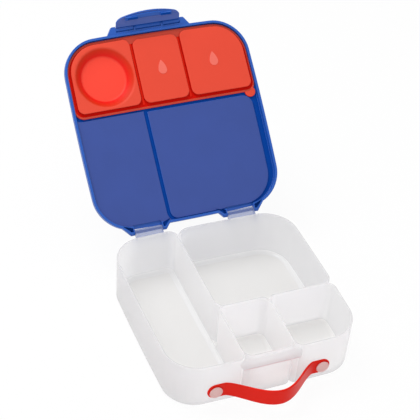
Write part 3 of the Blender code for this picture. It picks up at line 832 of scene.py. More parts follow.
def noise(wire, scale, detail=2.0, roughness=0.5):
    """Soft cloud of values from 0 to 1 about 0.5, with scale features to the metre."""
    where = wire.node("ShaderNodeTexCoord", out="Object")
    sockets = {"Vector": where, "Scale": scale, "Detail": detail, "Roughness": roughness}
    return wire.node("ShaderNodeTexNoise", {"noise_dimensions": "3D"}, sockets, out="Fac")


def blend(wire, factor, first, second):
    """A colour between two colours, which a Mix node takes at sockets 6 and 7 and gives at 2."""
    return wire.node("ShaderNodeMix", {"data_type": "RGBA"}, {"Factor": factor, 6: first, 7: second}, out=2)


def shaded(tone, factor):
    """A colour made lighter or darker."""
    return (*[min(channel * factor, 1.0) for channel in tone], 1.0)


def bump(wire, height, strength, distance):
    """A surface direction that follows a grain's height, with its relief in metres."""
    return wire.node("ShaderNodeBump", None, {"Height": height, "Strength": strength, "Distance": distance})


def glossed(wire, tint, roughness, specular, grain):
    """The shader that every moulding starts from."""
    sockets = {"Base Color": tint, "Roughness": roughness, "Specular IOR Level": specular, "Normal": grain}
    return wire.node("ShaderNodeBsdfPrincipled", None, sockets)


def plastic(name, base, shades, roughness, grain, specular, cloud_scale=28.0, deep=()):
    """An opaque moulded plastic or silicone, softly uneven in colour and gloss, with a fine grain.

    shades are how dark and how light the colour gets, and grain is its scale and its relief.
    deep gives painted shade down a bowl's wall and a painted glow of light through its floor, by the
    surface's own depth.
    """
    _, wire = blank(name)
    (dark, light), (grain_scale, relief) = shades, grain
    cloud = noise(wire, cloud_scale, 3.0, 0.55)
    fine = noise(wire, grain_scale, 3.0, 0.6)
    tint = blend(wire, cloud * 0.8 + fine * 0.2, shaded(base, dark), shaded(base, light))
    if deep:
        down = wire.node("ShaderNodeAttribute", {"attribute_name": "depth"}, out="Fac")
        shade = wire.node("ShaderNodeValToRGB", {"stops": deep}, {"Fac": down}, out="Color")
        tint = blend(wire, wire.node("ShaderNodeClamp", None, {"Value": down * 5}), tint, shade)
    gloss = roughness + (cloud - 0.5) * 0.10 + (fine - 0.5) * 0.08
    surface = glossed(wire, tint, gloss, specular, bump(wire, fine, 0.35, relief))
    wire.node("ShaderNodeOutputMaterial", None, {"Surface": surface})


def frosted_plastic(name, base, clearness, glow, roughness=0.25, specular=0.5):
    """Milky polypropylene.

    Part of the light is scattered back, part glows through, and part passes straight.
    """
    _, wire = blank(name)
    cloud = noise(wire, 16.0, 3.0, 0.55)
    fine = noise(wire, 1500.0, 2.0, 0.6)
    tint = blend(wire, cloud, shaded(base, 0.975), shaded(base, 1.02))
    gloss = roughness + (cloud - 0.5) * 0.12 + (fine - 0.5) * 0.06
    grain = bump(wire, fine * 0.6 + noise(wire, 120.0) * 0.4, 0.25, 0.00006)
    body = glossed(wire, tint, gloss, specular, grain)
    through = wire.node("ShaderNodeBsdfTranslucent", None, {"Color": shaded(base, 1.0)})
    milk = wire.node("ShaderNodeMixShader", None, {0: glow, 1: body, 2: through})
    clear = wire.node("ShaderNodeBsdfTransparent", None, {"Color": (0.97, 0.97, 0.98, 1.0)})
    surface = wire.node("ShaderNodeMixShader", None, {0: clearness, 1: milk, 2: clear})
    wire.node("ShaderNodeOutputMaterial", None, {"Surface": surface})


def finishes(box):
    """The materials, made once and shared."""
    look = box.finishes
    if "Frosted polypropylene" in bpy.data.materials:
        return bpy.data.materials
    # Name, colour, share passed straight, share that glows, and for some the roughness and specular level
    for name, base, clearness, glow, *gloss in (
        ("polypropylene", look.frosted, 0.44, 0.80),
        # inside, outside, small floor and floor are lighter and darker copies of the walls, painted as light
        # and shade
        ("inside", look.inside, 0.40, 0.80),
        ("outside", look.outside, 0.44, 0.80),
        ("small floor", look.small_floor, 0.12, 0.34),
        ("floor", look.floor, 0.24, 0.50),
        # Painted highlight along the floors' edges
        ("fillet", look.fillet, 0.20, 0.46, 0.18, 0.6),
        # The catch's pink and the studs' and knuckles' tints are painted, for the strap and the pins seen
        # through or reflected in them
        ("catch", look.catch, 0.15, 0.15),
        ("stud", look.stud, 0.30, 0.20),
        ("knuckle", look.knuckle, 0.40, 0.30),
    ):
        frosted_plastic(f"Frosted {name}", base, clearness, glow, *gloss)
    grained, dimpled = (1900.0, 0.00008), (1800.0, 0.00008)
    polished, matt = (900.0, 0.00002), (1400.0, 0.00005)
    # Name, colour, its darkest and lightest, roughness, grain, specular level, and a wider cloud for some
    for name, base, shades, roughness, grain, specular, *cloud_scale in (
        ("Grained blue panel", look.panel, (0.90, 1.12), 0.46, grained, 0.45, 24.0),
        ("Grained blue flap", look.flap, (0.92, 1.10), 0.46, grained, 0.5, 24.0),
        ("Smooth blue", look.blue, (0.94, 1.08), 0.30, polished, 0.35),
        # A darker blue, painted as shade
        ("Blue channel", look.blue_channel, (0.94, 1.08), 0.45, polished, 0.05),
        ("Red silicone", look.red, (0.96, 1.04), 0.52, matt, 0.18),
        # Darker reds, painted as shade between the pads, on the bars and on the lip
        ("Red channel", look.channel, (0.96, 1.04), 0.60, matt, 0.05),
        ("Red lip", look.lip, (0.96, 1.04), 0.52, matt, 0.18),
        ("Red frame", look.frame, (0.96, 1.04), 0.50, matt, 0.08),
        ("Red drop", look.drop, (1.0, 1.05), 0.62, dimpled, 0.5),
        ("Red strap", look.strap, (0.95, 1.05), 0.36, matt, 0.12),
    ):
        plastic(name, base, shades, roughness, grain, specular, *cloud_scale)
    # Painted shade down the bowl's wall and painted glow on its floor
    down = ((0.0, look.wall), (0.80, look.bend), (1.0, look.bowl))
    plastic("Red bowl", look.red, (0.96, 1.04), 0.46, matt, 0.22, deep=down)
    return bpy.data.materials


# Operators


class BuildTub(bpy.types.Operator):
    """Builds the frosted tub with its four compartments, knuckles, bosses and catch"""

    bl_idname = "lunchbox.build_tub"
    bl_label = "Tub"

    def execute(self, context):
        box = context.scene.lunch_box
        tub, lid, latch, strap = box.tub, box.lid, box.latch, box.strap
        plans = cells(tub)
        above = tub.height + OVERSHOOT

        def walls(plan, radii, levels):
            """A stack that swells and leans as the tub's walls do."""
            shape = bowed(tub, plan, radii, levels)
            lean(shape, tub)
            return shape

        def shell(cell):
            """A compartment filled up, with its walls."""
            levels = [(tub.wall, -OVERSHOOT)] + round_high(tub.wall, tub.height, tub.rim_round)
            return walls(*plans[cell], levels)

        def hollow(cell):
            """The room in a compartment."""
            levels = round_low(0.0, tub.floor, tub.floor_round, WIDE_STEPS)
            levels += flare_high(0.0, tub.height, tub.rim_round)
            return walls(*plans[cell], levels + [(levels[-1][0], above)])

        def notch(middle, inward):
            """The pocket between the rounded corners where one divider ends on another."""
            clear, low = 0.0006, tub.floor + 0.0007
            corner = tub.divider / 2 + tub.cell_corner
            radius = tub.cell_corner + tub.wall
            depths = (-tub.divider / 2 - EMBED, tub.divider / 2 + EMBED)
            drops = [math.sqrt(radius**2 - min(corner - depth, radius) ** 2) for depth in depths]
            sides = [corner - drop - clear for drop in drops]
            across = Vector((-inward[1], inward[0]))
            start, end = (Vector(middle) + Vector(inward) * depth for depth in depths)
            wide, narrow = (across * side for side in sides)
            return upright([start - wide, end - narrow, end + narrow, start + wide], low, above)

        # The outside, whose bottom edge is rounded down to the ring that the tub stands on
        ring_inset, ring_edge, foot_low, corner_ease = 0.0150, 0.0003, 0.0004, 0.0015
        foot_levels = round_low(GAP, foot_low, tub.foot, WIDE_STEPS) + [(GAP, above)]
        foot = walls(plan_box(tub), (tub.corner - corner_ease,) * 4, foot_levels)
        ring_levels = [(-ring_inset - ring_edge, 0.0), (-ring_inset, ring_edge), (-ring_inset, tub.floor)]
        base = bowed(tub, plan_box(tub), (tub.corner,) * 4, ring_levels)

        # Hinge knuckles on their webs, and bosses for the strap's studs
        web_inset, web_top, web_foot, stem_clear = 0.0006, 0.0020, 0.0150, 0.0002
        knuckles, bores, webs, bosses, stems = [], [], [], [], []
        y, z, radius, half = hinge_y(box), tub.height, lid.knuckle_radius, lid.knuckle_length / 2
        wall_y = tub.depth / 2 - tub.bow / 2 - EMBED
        turns = [math.radians(turn) for turn in (125, -75)]
        web = [(y + radius * math.cos(turn), z + radius * math.sin(turn)) for turn in turns]
        web += [(wall_y, z - web_foot), (wall_y, z - web_top)]
        for side in SIDES:
            x = side * lid.hinge_spacing / 2
            knuckles.append(bar_along_x(radius, (x, y, z), half, BAR_STEPS, SMALL_EDGE))
            bores.append(bar_along_x(lid.pin_radius, (x, y, z), 2 * half))
            webs.append(crosswise(web, x, half - web_inset))
            x = side * strap.stud_x
            face, back = stud_face(box), strap_back(box) - strap.thickness
            start, stop = (x, face + EMBED, strap.stud_z), (x, back - GAP, strap.stud_z)
            bosses.append(bar(strap.boss, start, stop, BAR_STEPS))
            start, stop = (x, back - strap.thickness, strap.stud_z), (x, face, strap.stud_z)
            stems.append(bar(strap.stem + stem_clear, start, stop))

        # The catch's ridge, with rounded ends
        edge, half = tub.height - latch.catch_drop, latch.catch_width / 2
        slope_rise, lip_height, end_round, end_height = 0.0020, 0.0012, 0.006, 0.020
        top, tip = edge + latch.catch_height, -tub.depth / 2 - latch.catch_reach
        inner_y = -tub.depth / 2 + tub.snack_setback + EMBED
        profile = [(inner_y, top + slope_rise), (tip, edge + lip_height), (tip, edge), (inner_y, edge)]
        ridge = crosswise(profile, 0, half)
        round_edges(ridge, CRISP_EDGE, edges=front_edges(ridge, 0, half, -tub.depth / 2 - EMBED))
        through = [(0.0, -end_height), (0.0, end_height)]
        ends = stack((-half, edge, half, edge + end_height), (end_round,) * 4, through, 0)
        move(tilt(ends, math.pi / 2), (0, -tub.depth / 2, 0))
        ridge = solid("ridge", ridge, [("INTERSECT", ends)])

        crossings = ((tub.short_divider, (0, -1)), (tub.long_divider, (1, 0)))
        notches = [notch((x, tub.cross_divider), inward) for x, inward in crossings]
        steps = (
            ("UNION", shell("large")),
            ("UNION", shell("snack")),
            ("UNION", shell("corner")),
            ("INTERSECT", foot),
            ("UNION", base),
            ("UNION", join(webs)),
            ("UNION", join(knuckles)),
            ("UNION", join(bosses)),
            ("UNION", ridge),
            ("DIFFERENCE", join([hollow(cell) for cell in plans])),
            ("DIFFERENCE", join(notches)),
            ("DIFFERENCE", join(bores + stems)),
        )
        item = carve("moulded_tub", shell("long"), steps)

        # Which finish each face takes, by its place and by how upright it stands. The floors, the fillets and
        # the walls inside the small compartments are painted lighter as light, the outer walls painted darker
        # as shade, and the knuckles and the catch's edge painted with the colours seen through and reflected
        # in them
        kinds = ("polypropylene", "knuckle", "floor", "small floor", "fillet", "catch", "inside", "outside")
        beside, steep, level, outer_wall, lip_top = 0.006, 0.55, 0.999, 0.08, edge + 0.0016

        def kind_of(spot, normal, _):
            """The kind of a face: small ones are left of or in front of the dividers."""
            x, y, z = spot
            small = x < tub.long_divider + beside or y < tub.cross_divider + beside
            front = small and x > tub.long_divider
            if y > tub.depth / 2 + GAP and z > tub.height - 3 * lid.knuckle_radius:
                return "knuckle"
            if y < tip + GAP and z < lip_top:
                return "catch"
            if abs(normal.z) < steep and normal.x * x + normal.y * y > outer_wall:
                return "outside"
            if abs(normal.z) < steep and small and abs(y) < tub.depth / 2 - tub.wall / 2:
                return "inside"
            if normal.z > steep and z < tub.floor + tub.floor_round:
                return "small floor" if front else "floor" if normal.z > level else "fillet"
            return "polypropylene"

        sort_faces(item, kinds, kind_of)
        looks = finishes(box)
        finish(item, "tub", [looks[f"Frosted {kind}"] for kind in kinds], ["tub"])
        return {"FINISHED"}


class BuildLid(bpy.types.Operator):
    """Builds the blue lid with its panels, skirt, hinge ears and latch bracket"""

    bl_idname = "lunchbox.build_lid"
    bl_label = "Lid"

    def execute(self, context):
        box = context.scene.lunch_box
        tub, lid, seal, latch = box.tub, box.lid, box.seal, box.latch
        plan, radii = plan_box(tub), (tub.corner,) * 4
        inner, low = lid_inner(box), -lid.skirt
        hinge, half_hinge = hinge_y(box), lid.knuckle_length / 2
        gap, floor = lid.panel_gap, lid.skin + lid.seat
        room_grow = lid.overhang - lid.skirt_wall
        reach = room_grow + EMBED

        body_levels = round_low(lid.overhang, low, PLAIN_EDGE, SMALL_STEPS)
        body_levels += round_high(lid.overhang, lid.top, lid.edge_round)
        body = bowed(tub, plan, radii, body_levels)
        room_round, recess_round, recess_edge = 0.0010, 0.0012, 0.0008
        room_levels = [(room_grow + SMALL_EDGE, low - OVERSHOOT)]
        room_levels += flare_low(room_grow, low, SMALL_EDGE, SMALL_STEPS)
        room_levels += round_high(room_grow, inner, room_round, 5)
        room = bowed(tub, plan, radii, room_levels)

        # What hangs under the skin to carry the panels, clear of the seal and with a channel between the two
        sharp, rear_edge, softer, seal_clear = 0.0015, 0.0009, 0.0020, 0.0010
        (_, front, right, _), _ = panels(box)[0]
        long_plan = (plan[0] - reach, front - seal.corner, right + 2 * lid.curl, plan[3] + reach)
        long_seat = (long_plan, (sharp, sharp, sharp, tub.corner + reach))
        (left, front, right, _), (_, front_right, back_right, _) = panels(box)[1]
        large_plan = (left + gap, front + gap, right - gap, plan[3] + room_grow - rear_edge)
        large_seat = (large_plan, (sharp, front_right, back_right + softer, lid.curl))
        seat_levels = round_low(0.0, lid.seat, lid.panel_round, SMALL_STEPS) + [(0.0, inner + EMBED)]
        channel = tub.divider + 2 * gap
        trim = bowed(tub, *large_seat, [(channel, -OVERSHOOT), (channel, inner)])
        (left, front, right, back), bends = seal_plan(box)
        clear = seal_grow(box) + seal.groove - seal_clear
        outline = (left - OVERSHOOT, front, right + OVERSHOOT, back)
        clearance = bowed(tub, outline, bends, [(clear, -OVERSHOOT), (clear, inner)])
        seats = [bowed(tub, *outline, seat_levels) for outline in (long_seat, large_seat)]
        seats[0] = solid("seat", seats[0], [("DIFFERENCE", clearance), ("DIFFERENCE", trim)])
        recess_levels = round_low(-gap - lid.skin, floor, recess_round, 5)
        recess_levels += flare_high(-gap - lid.skin, lid.top, recess_edge, SMALL_STEPS)
        recess_levels.append((recess_levels[-1][0], lid.top + OVERSHOOT))
        recesses = [bowed(tub, *panel, recess_levels) for panel in panels(box)]

        # Hollow ears on both sides of each knuckle, wide at the lid and narrow at the pin
        ears, pockets = [], []
        ear_tip, ear_root, ear_wall = 0.0050, 0.0170, 0.0012
        ceiling, lid_side, knuckle_side, tip_side = 0.0004, 0.0004, 0.0002, 0.0008
        near_y = hinge - (lid.hinge_backset - lid.overhang) - tub.bow / 2 - EMBED
        far_y = near_y - ear_root / 3
        for side in SIDES:
            for outward in SIDES:
                x = side * lid.hinge_spacing / 2 + outward * (half_hinge + GAP)
                tip, root = x + outward * ear_tip, x + outward * ear_root
                points = circle_points(x, hinge, 0.0, lid.knuckle_radius)
                points += circle_points(tip, hinge, 0.0, lid.knuckle_radius)
                for end, back in ((x, near_y), (root, far_y)):
                    points += [(end, back, inner + EMBED), (end, back, low)]
                ears.append(hull(points))
                wall = outward * ear_wall
                pocket = [(x + wall, hinge - knuckle_side), (tip - wall * 0.6, hinge - tip_side)]
                pocket += [(root - wall * 3, far_y + ear_wall), (x + wall, near_y - lid_side)]
                pockets.append(upright(pocket, low - OVERSHOOT, inner - ceiling))

        # The latch's bracket, with its slot and the ribs in it
        half, lid_y = latch.width / 2 + latch.cheek, lid_front(box)
        front, back, wide = lid_y - latch.reach, lid_y + lid.skin, half + latch.flare
        bottom, front_round = latch.rise - latch.bracket_height / 2, 0.0016
        bracket_plan = [(-wide, back), (-half, front), (half, front), (wide, back)]
        bracket = upright(bracket_plan, bottom, bottom + latch.bracket_height)
        round_edges(bracket, front_round, 5, edges=front_edges(bracket, 2, EMBED, back - EMBED))
        move(round_edges(bracket, PLAIN_EDGE, 3, 40.0), (latch.shift, 0, 0))
        half = latch.width / 2 + GAP
        slot = box_shape(
            (latch.shift - half, lid_y - 2 * latch.reach, -latch.reach),
            (latch.shift + half, lid_y - latch.slot_back, latch.reach),
        )
        ribs = []
        pin_y, root_y = lid_y - latch.backset, lid_y - latch.slot_back + EMBED
        for side in SIDES:
            middle = latch.shift + side * latch.rib_x
            points = []
            for x in (middle - latch.rib_width / 2, middle + latch.rib_width / 2):
                points += circle_points(x, pin_y, latch.rise, latch.barrel)
                points += [(x, root_y, latch.rise - latch.barrel), (x, root_y, latch.rise + latch.barrel)]
            ribs.append(hull(points))

        # Room for the knuckles, the bowl's window and the pins' bores
        cuts = []
        knuckle_room, lid_edge = lid.knuckle_radius + GAP, lid.hinge_backset - lid.overhang
        rise = math.sqrt(max(knuckle_room**2 - lid_edge**2, 0.0))
        deep, pin_reach, half = lid.hinge_backset + 2 * GAP, 0.0035, half_hinge + GAP
        for side in SIDES:
            middle = side * lid.hinge_spacing / 2
            highest = (middle + half, hinge, max(inner - GAP, rise))
            cuts.append(box_shape((middle - half, hinge - deep, low - EMBED), highest))
            cuts.append(bar_along_x(lid.pin_radius, (middle, hinge, 0), half_hinge + pin_reach))
        x, y = bowl_centre(tub)
        cuts.append(bar(seal.bowl_back + GAP, (x, y, 0.0), (x, y, lid.top + EMBED), BOWL_STEPS))
        half = latch.width / 2 + latch.cheek - latch.pin_cover
        cuts.append(bar_along_x(latch.pin_radius, (0.0, pin_y, latch.rise), half))
        steps = (
            ("UNION", join(ears)),
            ("UNION", bracket),
            ("DIFFERENCE", room),
            ("UNION", join(seats)),
            ("DIFFERENCE", join(recesses)),
            ("DIFFERENCE", slot),
            ("UNION", join(ribs)),
            ("DIFFERENCE", join(cuts)),
            ("DIFFERENCE", join(pockets)),
        )
        item = carve("moulded_lid", body, steps)

        # Grained panels, a darker blue painted as shade in the channels round them and in the ears' pockets,
        # and the smooth finish everywhere else
        kinds = ("Smooth blue", "Grained blue panel", "Blue channel")
        level, near = 0.96, 0.0002

        def kind_of(spot, normal, _):
            _, y, z = spot
            face_z = lid.seat if normal.z < 0 else floor
            wall = abs(normal.z) < 0.5 and lid.seat < z < inner and y > lid_y + 2 * lid.skirt_wall
            if abs(z - inner + GAP) < GAP / 6:
                return "Smooth blue"
            if abs(normal.z) > level and abs(z - face_z) < near:
                return "Grained blue panel"
            if wall or (normal.z < -level and lid.seat < z < lid.top - EMBED):
                return "Blue channel"
            return "Smooth blue"

        sort_faces(item, kinds, kind_of)
        place(item, open_lid(box))
        looks = finishes(box)
        finish(item, "lid", [looks[kind] for kind in kinds], ["lid_shell"])
        for name in ("latch_pin", "hinge_pin_left", "hinge_pin_right"):
            slots = frame["nodes"][name].material_slots
            if not slots:
                raise RuntimeError(f"{name} has no material slot")
            for slot in slots:
                slot.material = looks["Smooth blue"]
        return {"FINISHED"}


class BuildSeal(bpy.types.Operator):
    """Builds the red seal with its three pads, bowl, pull tab and raised drops"""

    bl_idname = "lunchbox.build_seal"
    bl_label = "Seal"

    def execute(self, context):
        box = context.scene.lunch_box
        tub, seal = box.tub, box.seal
        top, face = lid_inner(box) - GAP, -seal.pad_drop
        root = top - EMBED / 2
        grow = seal_grow(box)
        plan, radii = seal_plan(box)
        levels = round_low(grow, GAP / 2, SMALL_EDGE, SMALL_STEPS) + round_high(grow, top, FINE_EDGE, 3)
        sheet = bowed(tub, plan, radii, levels)
        inside, floor = grow - seal.lip, top - seal.web
        front_inset, back_inset = 0.0016, 0.0012
        tray_plan = (plan[0], plan[1] + front_inset, plan[2], plan[3] - back_inset)
        tray_levels = [(inside + FINE_EDGE, -OVERSHOOT)] + flare_low(inside, GAP / 2, FINE_EDGE, 3)
        tray = bowed(tub, tray_plan, radii, tray_levels + [(inside, floor)])
        pad_levels = round_low(-seal.pad_gap, face, seal.pad_round) + [(-seal.pad_gap, root)]
        blocks = [bowed(tub, *pad, pad_levels) for pad in pads(box)]

        # Bars over the dividers and along the front, and the pull tab
        side_clear, front_clear, back_clear, bar_clear = 0.0006, 0.0010, 0.0020, 0.0008
        frames = []
        half = tub.divider / 2 + seal.pad_gap - side_clear
        front, back = -tub.depth / 2 + front_clear, tub.cross_divider - back_clear
        for middle in (tub.long_divider, tub.short_divider):
            frames.append(box_shape((middle - half, front, GAP), (middle + half, back, root)))
        left, right = tub.long_divider - seal.pad_corner, tub.width / 2 - tub.corner
        front, back = -tub.depth / 2 + bar_clear, seal.pad_corner - tub.depth / 2
        front_bar = box_shape((left, front, GAP / 2), (right, back, top - EMBED))
        tab_spot, inset = (tub.width / 2 - seal.tab_inset, seal_edge(box)), 0.00006
        low, high = (*tab_spot, GAP / 2 + inset), (*tab_spot, top - inset)
        tab = bar(seal.tab_radius, low, high, DISC_STEPS, CRISP_EDGE)

        # The bowl: its outside, and what is cut from it
        centre = bowl_centre(tub)
        base = face + seal.bowl_depth
        hollow = bowl_profile(seal, face, base)
        corner, back = seal.bowl_floor + seal.skin, base + seal.skin
        chamfer_in, chamfer_down = 0.0020, 0.0012
        outside = [(0.0, back), (corner - chamfer_in, back), (corner, back - chamfer_down)]
        outside += [(seal.bowl_back, top), (seal.bowl_back, top - EMBED), (0.0, top - EMBED)]
        cutter = [(0.0, face - OVERSHOOT), (hollow[0][0], face - OVERSHOOT)] + hollow + [(0.0, base)]
        steps = (
            ("UNION", tab),
            ("DIFFERENCE", tray),
            ("UNION", front_bar),
            ("UNION", join(frames)),
            ("UNION", join(blocks)),
            ("UNION", turned(outside, centre)),
            ("DIFFERENCE", turned(cutter, centre)),
        )
        item = carve("soft_seal", sheet, steps)

        # Which red each face takes, by its place and by how upright it stands: between the pads, on the bars
        # over the dividers and on the lip the red is painted darker as shade
        kinds = ("silicone", "channel", "frame", "bowl", "lip")

        def kind_of(spot, normal, _):
            x, y, z = spot
            down = normal.z < -0.9
            if math.dist((x, y), centre) < seal.bowl_rim + GAP:
                return "bowl"
            if z > face + seal.pad_round / 2 and (abs(normal.z) < 0.5 or abs(z - floor) < GAP):
                return "channel"
            if down and abs(z - GAP) < GAP / 4:
                return "frame"
            if down and abs(z - GAP / 2) < GAP / 4 and math.dist((x, y), tab_spot) >= seal.tab_radius:
                return "lip"
            return "silicone"

        sort_faces(item, kinds, kind_of)
        # Depth into the bowl, which sets its painted shade and glow
        depth = item.data.attributes.new("depth", "FLOAT", "POINT")
        for vert, value in zip(item.data.vertices, depth.data):
            x, y, z = vert.co
            if math.dist((x, y), centre) < seal.bowl_rim + GAP and z < base + GAP:
                value.value = max(z - face, 0.0) / seal.bowl_depth
        place(item, open_lid(box))
        looks = finishes(box)
        finish(item, "lid", [looks[f"Red {kind}"] for kind in kinds], ["lid_seal"])
        for name, spot in (("seal_drop_middle", (0.0028, -0.0693)), ("seal_drop_right", (0.0725, -0.0695))):
            drop = place(carve(name, teardrop(seal, spot, face)), open_lid(box))
            finish(drop, "lid", [looks["Red drop"]])
        return {"FINISHED"}


def bowl_profile(seal, face, base):
    """(radius, height) from the bowl's rounded mouth, down its wall and round into its floor."""
    bend = seal.bowl_bend
    across, down = seal.bowl_rim - seal.bowl_floor, base - face - 2 * bend
    slope = math.atan2(down, across) + math.asin(2 * bend / math.hypot(across, down))
    turns = [slope * step / BEND_STEPS for step in range(BEND_STEPS + 1)]
    spots = [(bend * math.sin(turn), bend * (1 - math.cos(turn))) for turn in turns]
    points = [(seal.bowl_rim - out, face + rise) for out, rise in spots]
    points += [(seal.bowl_floor + out, base - rise) for out, rise in reversed(spots)]
    overlap = 0.00002
    points[0] = (points[0][0], face - overlap)
    return points


def teardrop(seal, spot, face):
    """A low raised drop with a soft edge, its tip towards the lid's front."""
    fullness, slimness = 1.5, 0.42
    shape = bmesh.new()
    radius = seal.drop_width / 2
    bmesh.ops.create_circle(shape, cap_ends=True, segments=DISC_STEPS, radius=radius)
    stretch = (seal.drop_length - radius) / radius
    for vert in shape.verts:
        if vert.co.y < 0:
            part = -vert.co.y / radius
            vert.co.y *= stretch
            vert.co.x *= (1 - part**fullness) ** slimness
    bmesh.ops.remove_doubles(shape, verts=shape.verts, dist=0.0001)
    (flat,) = shape.faces
    height = seal.drop_rise + EMBED / 2
    pull(shape, flat, (0, 0, -height))
    rims = [edge for edge in shape.edges if all(vert.co.z < -height / 2 for vert in edge.verts)]
    round_edges(shape, FINE_EDGE, edges=rims)
    return move(shape, (*spot, face + EMBED / 2))


class BuildLatch(bpy.types.Operator):
    """Builds the latch's flap with its barrel, bead and hooks"""

    bl_idname = "lunchbox.build_latch"
    bl_label = "Latch"

    def execute(self, context):
        box = context.scene.lunch_box
        latch, lid = box.latch, box.lid
        half, skin, corner = latch.width / 2, latch.skin, latch.corner

        def arch(x, along):
            """How far the flap's lower edge draws up at x, for a place along the flap."""
            return latch.arch * (x / half) ** 2 * max(along, 0.0) / latch.length

        def inner(height):
            """y of the leaning flap's inner face at a height."""
            return math.tan(latch.lean) * -height + skin / 2

        levels = round_low(0.0, -skin / 2, PLAIN_EDGE, SMALL_STEPS)
        levels += round_high(0.0, skin / 2, PLAIN_EDGE, SMALL_STEPS)
        flap = stack((-half, 0.0, half, latch.length), (EMBED, EMBED, corner, corner), levels)
        for vert in flap.verts:
            vert.co.y -= arch(vert.co.x, vert.co.y)
        tilt(flap, -math.pi / 2)
        tilt(flap, latch.lean)

        # The stiffening bead follows part of the lower edge's arch
        top = -(latch.catch_drop + latch.rise) - GAP
        bead_cuts, bead_share = 24, 0.75
        bead = box_shape(
            (-latch.bead_width / 2, inner(top) - EMBED, top - latch.bead_height),
            (latch.bead_width / 2, inner(top) + latch.bead_reach, top - GAP),
        )
        slice_across(bead, latch.bead_width / 2, bead_cuts)
        round_edges(bead, SOFT_EDGE, SMALL_STEPS)
        for vert in bead.verts:
            vert.co.z += bead_share * arch(vert.co.x, -vert.co.z)
        reach = latch.backset + lid.overhang - latch.catch_reach + latch.hook_bite
        hooks, gaps = [], []
        for side in SIDES:
            x, wide = side * latch.hook_x, latch.hook_width / 2
            low = (x - wide, inner(top) - EMBED / 2, top - latch.hook_height)
            hooks.append(round_edges(box_shape(low, (x + wide, reach, top)), SMALL_EDGE))
            x, wide, room = side * latch.rib_x, latch.rib_width / 2 + GAP, latch.barrel + 2 * GAP
            gaps.append(box_shape((x - wide, -room, -room), (x + wide, room, room)))
        barrel = bar_along_x(latch.barrel, (0, 0, 0), half, BAR_STEPS, CRISP_EDGE)
        bore = bar_along_x(latch.pin_radius, (0, 0, 0), half + EMBED)

        # The line that is sunk into the flap just under its barrel
        line_gap, line_half, line_depth = 0.0012, 0.0006, 0.0005
        line_z = -latch.barrel - line_gap
        low = (-half + EMBED, inner(line_z) - line_depth, line_z - line_half)
        line = box_shape(low, (half - EMBED, inner(line_z) + EMBED, line_z + line_half))
        steps = (
            ("DIFFERENCE", line),
            ("UNION", barrel),
            ("UNION", bead),
            ("UNION", join(hooks)),
            ("DIFFERENCE", bore),
            ("DIFFERENCE", join(gaps)),
        )
        item = carve("moulded_latch", flap, steps)

        # The flap's large faces are grained, and its sunk line, the hooks' tips and the undersides are matt
        # and painted darker blue as shade
        kinds = ("Smooth blue", "Grained blue flap", "Blue channel")
        least_area, line_deep, line_reach = 0.0002, 0.0006, 0.0008
        across = Vector((0.0, math.cos(latch.lean), math.sin(latch.lean)))

        def kind_of(spot, normal, area):
            stands = spot.y - inner(spot.z)
            under = normal.z > 0.3 and stands > EMBED / 2 and spot.z < top / 2
            tip = normal.dot(across) > 0.9 and stands > latch.bead_reach + EMBED
            in_line = -line_deep < stands < -GAP / 2 and abs(spot.z - line_z) < line_reach
            if abs(normal.dot(across)) > 0.99 and area > least_area:
                return "Grained blue flap"
            return "Blue channel" if under or tip or in_line else "Smooth blue"

        sort_faces(item, kinds, kind_of)
        place(item, open_latch(box) @ Matrix.Translation((latch.shift, 0, 0)))
        looks = finishes(box)
        finish(item, "latch", [looks[kind] for kind in kinds], ["latch_flap"])
        return {"FINISHED"}


class BuildStrap(bpy.types.Operator):
    """Builds the soft carry strap and the two studs that hold it"""

    bl_idname = "lunchbox.build_strap"
    bl_label = "Strap"

    def execute(self, context):
        box = context.scene.lunch_box
        strap = box.strap
        half, end = strap.height / 2, strap.stud_x + strap.height / 2
        back = strap_back(box)

        def offset(x):
            """How far the strap stands off the tub at x."""
            reach = strap.bulge_left if x < strap.bulge_x else strap.bulge_right
            part = min(abs(x - strap.bulge_x) / reach, 1.0)
            return strap.bulge * ((1 + math.cos(math.pi * part)) / 2) ** strap.fullness

        # A flat band with round edges and ends, which is then bent out between its studs
        cuts, edge_flat, end_flat = 120, 0.0001, 0.00002
        thick, edge = strap.thickness / 2, strap.thickness / 2 - edge_flat
        levels = round_low(0.0, -thick, edge, 5) + round_high(0.0, thick, edge, 5)
        shape = stack((-end, -half, end, half), (half - end_flat,) * 4, levels, 0)
        slice_across(shape, strap.stud_x, cuts)
        for vert in shape.verts:
            x, height, depth = vert.co
            slope = (offset(x + EMBED) - offset(x - EMBED)) / (2 * EMBED)
            swell = 1 + strap.grip * offset(x) / strap.bulge
            across = Vector((slope, 1.0)).normalized() * depth * swell
            vert.co = (x + across.x, back - thick - offset(x) + across.y, strap.stud_z + height * swell)
        outwards(shape)
        holes = []
        for side in SIDES:
            x, z = side * strap.stud_x, strap.stud_z
            start, stop = (x, back + EMBED, z), (x, back - 2 * strap.thickness, z)
            holes.append(bar(strap.boss + GAP, start, stop, BAR_STEPS))
        item = carve("carry_strap", shape, [("DIFFERENCE", join(holes))])
        looks = finishes(box)
        finish(item, "tub", [looks["Red strap"]], ["handle_strap"])

        inner = back - strap.thickness - 2 * GAP
        for side, name in zip(SIDES, ("left", "right")):
            x, z = side * strap.stud_x, strap.stud_z
            outer = (x, inner - strap.head_thickness, z)
            head = bar(strap.head, (x, inner, z), outer, DISC_STEPS, SOFT_EDGE)
            stem = bar(strap.stem, (x, inner - EMBED, z), (x, stud_face(box) - 2 * GAP, z))
            item = carve(f"strap_stud_{name}", head, [("UNION", stem)])
            # The stud's pink is painted, for the red strap seen through it
            finish(item, "tub", [looks["Frosted stud"]], [f"handle_stud_{name}"])
        return {"FINISHED"}


